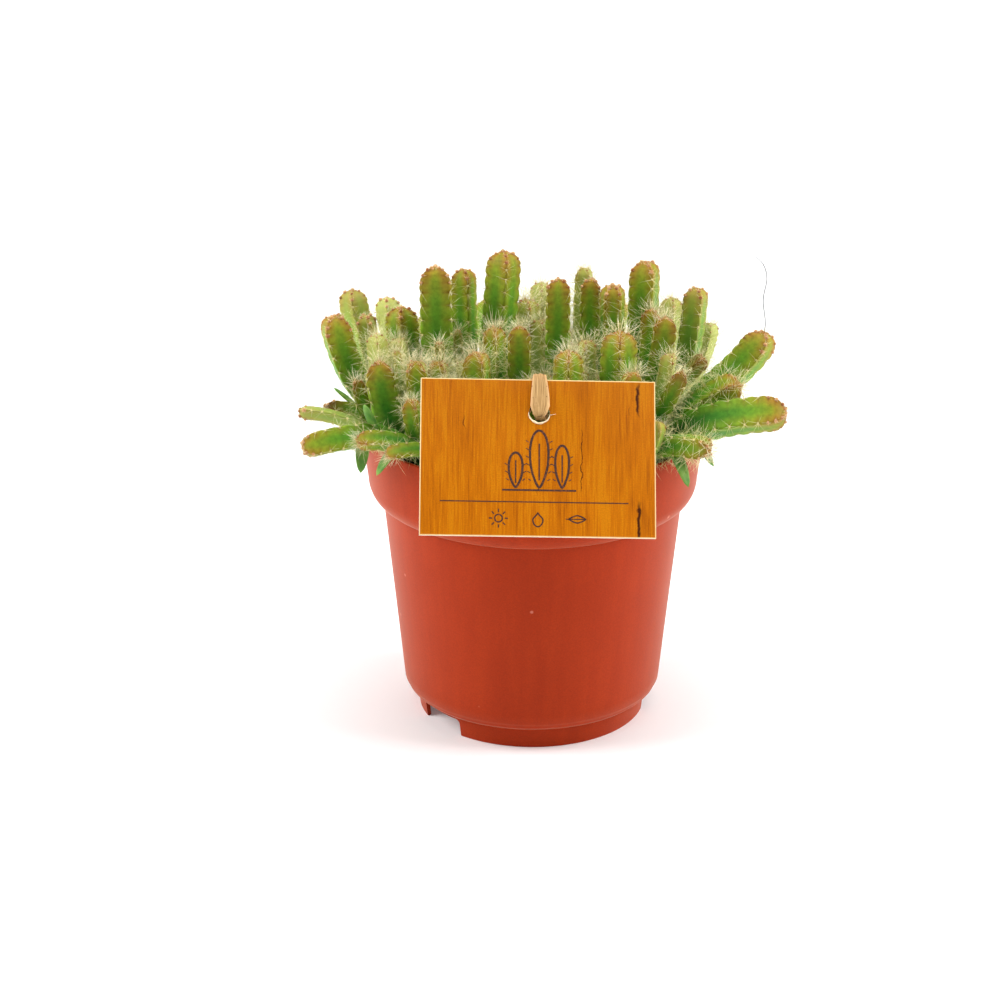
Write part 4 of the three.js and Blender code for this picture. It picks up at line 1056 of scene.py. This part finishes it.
def buildTag(form):
    shape = bmesh.new()
    size = (form["width"], form["thickness"], form["height"], 1)
    bmesh.ops.create_cube(shape, size=1, matrix=Matrix.Diagonal(size))
    bmesh.ops.bevel(shape, geom=list(shape.edges), offset=form["edge"], segments=2, profile=0.5,
                    affect="EDGES", material=-1)
    finishes = [woodPrint(printForm), greyBoard("whiteBoard", "#E4DCCB", "#F4EEDF")]
    tag = addPiece("cardTag", shape, finishes, "tag_card", "tag")
    cutter = bmesh.new()
    holeX, holeZ = form["hole"]
    placing = Matrix.Translation((holeX, 0, holeZ)) @ Matrix.Rotation(radians(90), 4, "X")
    bmesh.ops.create_cone(cutter, cap_ends=True, segments=48, radius1=form["holeRadius"],
                          radius2=form["holeRadius"], depth=6, matrix=placing)
    cutAndSmooth(tag, cutter, 30)
    layer = tag.data.uv_layers.new(name="print")
    for face in tag.data.polygons:
        face.material_index = 0 if face.normal.y < -0.5 else 1
        for loop in face.loop_indices:
            spot = tag.data.vertices[tag.data.loops[loop].vertex_index].co / mm
            layer.data[loop].uv = (spot.x / form["width"] + 0.5, spot.z / form["height"] + 0.5)
    placeOnTag(tag)

    # the punch left a torn lip of board round the lower half of the hole
    lip = bmesh.new()
    front = -form["thickness"] / 2
    for v in bmesh.ops.create_uvsphere(lip, u_segments=10, v_segments=40, radius=1)["verts"]:
        t = poleShare(v.co.z)
        turn = radians(blend(*form["lipSpan"], t))
        torn = form["lip"] * sin(pi * t) ** 0.5 if 0 < t < 1 else 0
        torn *= 1 + 0.5 * noise.noise(Vector((9 * t, 0, 2)))
        ring = Vector((v.co.x, v.co.y)).normalized() * torn
        radius = form["holeRadius"] + 0.25 * noise.noise(Vector((4 * t, 3, 0))) + ring.x
        v.co = (holeX + radius * cos(turn), front - 0.12 + ring.y * 0.7, holeZ + radius * sin(turn))
    # with a whisker of fibre at its right end
    whisker = Matrix.Translation((holeX + form["holeRadius"] + 0.8, front - 0.15, holeZ - 0.5))
    bmesh.ops.create_cone(lip, cap_ends=True, segments=5, radius1=0.16, radius2=0.04, depth=form["whisker"],
                          matrix=whisker @ turning(0, radians(80), 0))
    placeOnTag(addPiece("punchedLip", lip, [greyBoard("tornBoard", "#E2C69A", "#F6E4C2")], "tag_card"))


# ink shapes are drawn flat in X and Y, and stood up on the card's front at the end
def inkBar(shape, x, y, length, width, degrees=0):
    placing = Matrix.Translation((x, y, 0)) @ Matrix.Rotation(radians(degrees), 4, "Z")
    placing @= Matrix.Diagonal((length, width, printForm["lift"] * 2, 1))
    bmesh.ops.create_cube(shape, size=1, matrix=placing)


# outline of a circle pulled to a drop or a club by the shaping function
def inkLoop(shape, segments, line, shaping):
    ring = bmesh.ops.create_circle(shape, cap_ends=True, segments=segments, radius=1)["verts"]
    for v in ring:
        v.co = Vector((*shaping(v.co.x, v.co.y), -printForm["lift"]))
    inside = list(facesOf(ring))
    rim = bmesh.ops.inset_region(shape, faces=inside, thickness=line, use_boundary=True, use_even_offset=True)
    bmesh.ops.delete(shape, geom=inside, context="FACES")
    raised = bmesh.ops.extrude_face_region(shape, geom=rim["faces"], use_keep_orig=True)["geom"]
    for v in raised:
        if isinstance(v, bmesh.types.BMVert):
            v.co.z += 2 * printForm["lift"]


def buildPrint(form):
    shape = bmesh.new()
    inkBar(shape, *form["rule"])
    inkBar(shape, *form["ground"])
    # three ribbed clubs standing on the ground line, with spines at their sides
    pitch = form["spineGap"]
    for middle, foot, wide, high in form["clubs"]:
        def club(px, py):
            narrow = blend(0.62, 1, smoothStep((py + 1) / 2, 0, 0.6))
            return middle + px * narrow * wide / 2, foot + high * (0.5 + 0.5 * copysign(abs(py) ** 0.75, py))
        inkLoop(shape, 40, form["line"], club)
        inkBar(shape, middle, foot + 0.45 * high, 0.62 * high, form["line"] * 0.6, 90)
        for k in range(1, int(high / pitch)):
            level = k * pitch
            reach = 0.5 * wide * blend(0.7, 1, min(level / high / 0.5, 1)) + 0.45
            for side in (-1, 1):
                if level < high - 1.5:
                    inkBar(shape, middle + side * reach, foot + level + 0.3, *form["spine"], side * 30)
    # general care signs: sun, water, leaf
    level, gap, line = form["signs"], form["signGap"], form["signLine"]
    def sun(px, py):
        return -gap + 1.5 * px, level + 1.5 * py

    def drop(px, py):
        return 1.9 * px * (1 - 0.75 * smoothStep(py, 0, 1)), level - 0.3 + 2.6 * py

    def leaf(px, py):
        return gap + 3.1 * px, level + 1.5 * py * (1 - abs(px)) ** 0.35

    inkLoop(shape, 24, line, sun)
    for k in range(8):
        turn = radians(45 * k)
        inkBar(shape, -gap + 2.6 * cos(turn), level + 2.6 * sin(turn), 1.1, 0.42, 45 * k)
    inkLoop(shape, 32, line, drop)
    inkLoop(shape, 32, line, leaf)
    inkBar(shape, gap - 0.6, level, 6.4, 0.3)
    front = Matrix.Translation((0, -tagForm["thickness"] / 2, 0))
    shape.transform(front @ Matrix.Rotation(radians(90), 4, "X"))
    bmesh.ops.recalc_face_normals(shape, faces=shape.faces)
    ink = addPiece("tagPrint", shape, [printInk()], "tag_card")
    ink.data.shade_flat()
    placeOnTag(ink)


buildTag(tagForm)
buildPrint(printForm)
print("card tag done")


# raffia: a split palm leaf, creased lengthwise, that goes through the card's hole and round a stem
def raffia():
    # dried palm leaf: warm tan, a dull silk gloss, brown where the veins run, edges painted paler
    # as a highlight where the curled rims catch the light, and a few brown flecks
    material, tree = newMaterial("driedRaffia")
    across, along = (
        addNode(tree, "Attribute", {"attribute_name": name}).outputs["Fac"]
        for name in ("crosswise", "lengthwise"))
    strip = addNode(tree, "CombineXYZ", {}, {0: across, 1: along})
    # veins about 0.4 mm apart, running on for about 12 mm
    veinMap = addNode(tree, "Mapping", {"Scale": (2.4, 0.09, 1)}, {"Vector": strip})
    veins = addNode(tree, "TexNoise", {"Scale": 1, "Detail": 5, "Roughness": 0.65}, {"Vector": veinMap})
    tint = addNode(tree, "ValToRGB", {"stops": (
        (0.3, "#7A5026"), (0.44, "#AC8450"), (0.6, "#CDA66E"), (0.75, "#E6C794"))}, {0: veins})
    # the strip's edges are painted paler: a painted highlight on its curled rims
    fromMiddle = addNode(tree, "Math", {"operation": "ABSOLUTE"}, {0: across})
    paintedEdgeHighlight = addNode(tree, "MapRange", {"From Min": 2.2, "From Max": 3.1, "To Max": 0.7},
                     {"Value": fromMiddle})
    edged = addNode(tree, "Mix", {"data_type": "RGBA", 7: "#E9BC84"}, {0: paintedEdgeHighlight, 6: tint})
    # flecks under 0.5 mm, about 2 mm apart
    spots = addNode(tree, "TexVoronoi", {"Scale": 0.5}, {"Vector": strip})
    fleck = addNode(tree, "ValToRGB", {"stops": ((0.07, 0.8), (0.13, 0.0))}, {0: spots})
    flecked = addNode(tree, "Mix", {"data_type": "RGBA", 7: "#6B4420"}, {0: fleck, 6: edged})
    bump = addNode(tree, "Bump", {"Strength": 0.7, "Distance": 0.0003}, {"Height": veins})
    return finishMaterial(material, {"Roughness": 0.65, "Specular IOR Level": 0.25},
                          {"Base Color": flecked, "Normal": bump})


def buildTie(form):
    shape = bmesh.new()
    crosswise = shape.verts.layers.float.new("crosswise")
    lengthwise = shape.verts.layers.float.new("lengthwise")
    bmesh.ops.create_grid(shape, x_segments=form["steps"], y_segments=form["across"], size=1)
    for v in shape.verts:
        share, side = (v.co.x + 1) / 2 % 1, v.co.y
        point, ahead, width, level = alongTie(stations, share)
        across = (level - ahead * level.dot(ahead)).normalized()
        over = ahead.cross(across)
        crease = form["crease"] * sin(7 * side + 3 * sin(6 * pi * share))
        bow = form["curl"] * (0.4 - side * side)
        v.co = point + across * side * width / 2 + over * (crease + bow * 0.5)
        v[crosswise] = side * form["spread"]
        v[lengthwise] = form["halfLength"] * abs(2 * share - 1)
    bmesh.ops.remove_doubles(shape, verts=shape.verts, dist=0.01)
    bmesh.ops.recalc_face_normals(shape, faces=shape.faces)
    bmesh.ops.solidify(shape, geom=list(shape.faces), thickness=form["thickness"])
    bmesh.ops.recalc_face_normals(shape, faces=shape.faces)
    addPiece("raffiaTie", shape, [raffia()], "raffia", "tag_tie")


buildTie(tieForm)
print("raffia tie done")

# one long stray hair that stands up from the crown of a leaning seedling on the right
strayHair = {
    "points": ((80.3, 3.5, 137), (80.6, 3, 143), (79.6, 3, 151), (80.6, 3, 158.5), (79.4, 3, 163.2),
               (77.2, 3, 165.8), (74.5, 3, 167)),
    "radius": 0.2, "steps": 60,
}


def buildStrayHair(form):
    shape = bmesh.new()
    points = [Vector(p) for p in form["points"]]
    points = [points[0] * 2 - points[1], *points, points[-1] * 2 - points[-2]]
    for v in bmesh.ops.create_uvsphere(shape, u_segments=5, v_segments=form["steps"], radius=1)["verts"]:
        place = (1 - poleShare(v.co.z)) * (len(points) - 3)
        i = min(int(place), len(points) - 4)
        onPole = abs(v.co.z) > 0.9999
        ring = Vector((0, 0, 0)) if onPole else Vector((v.co.x, v.co.y, 0)).normalized()
        v.co = curvePoint(*points[i:i + 4], place - i) + ring * form["radius"]
    addPiece("strayHair", shape, [hairMaterial("greyLint", "#86868A", "#A2A2A6")], "cactus_stem")


buildStrayHair(strayHair)

# the studio: white sweep, a softbox high at each side and one above
studio = {
    "floor": "#F4F4F4", "floorHalf": 6, "glow": 0.12, "farGlow": 1.0, "glowSpan": (0.7, 2.2), "room": 0.18,
    "aim": (0, 0, 0.08),
    # place and size in metres, and watts
    "lights": (((-1.5, -0.1, 1.0), 1.1, 32), ((1.5, -0.1, 1.0), 1.1, 32), ((0.1, 0.1, 1.8), 1.3, 21)),
}


def whitePaper(form):
    # matt white paper, lit on its own from about 1 m out, so that it stays white up to the far edge
    material, tree = newMaterial("whitePaperSweep")
    place = addNode(tree, "TexCoord", {}).outputs["Object"]
    distance = addNode(tree, "VectorMath", {"operation": "LENGTH"}, {0: place})
    near, far = form["glowSpan"]
    lit = addNode(tree, "MapRange", {"From Min": near, "From Max": far, "To Min": form["glow"],
                                     "To Max": form["farGlow"]}, {"Value": distance})
    return finishMaterial(material, {"Base Color": form["floor"], "Roughness": 0.9, "Specular IOR Level": 0.2,
                                     "Emission Color": "#FFFFFF"}, {"Emission Strength": lit})


def buildStudio(form):
    scene = bpy.context.scene
    scene.view_settings.view_transform = "Standard"
    world = bpy.data.worlds.new("studioRoom")
    world.use_nodes = True
    world.node_tree.nodes["Background"].inputs["Strength"].default_value = form["room"]
    world.node_tree.nodes["Background"].inputs["Color"].default_value = (1, 1, 1, 1)
    scene.world = world
    for place, size, watts in form["lights"]:
        lamp = bpy.data.lights.new("softbox", "AREA")
        lamp.energy = watts
        lamp.size = size
        light = bpy.data.objects.new("softbox", lamp)
        light.location = place
        light.rotation_euler = (Vector(form["aim"]) - Vector(place)).to_track_quat("-Z", "Y").to_euler()
        bpy.context.collection.objects.link(light)
    shape = bmesh.new()
    bmesh.ops.create_grid(shape, x_segments=1, y_segments=1, size=form["floorHalf"])
    mesh = bpy.data.meshes.new("paperSweep")
    shape.to_mesh(mesh)
    shape.free()
    mesh.materials.append(whitePaper(form))
    floor = bpy.data.objects.new("paperSweep", mesh)
    bpy.context.collection.objects.link(floor)


buildStudio(studio)
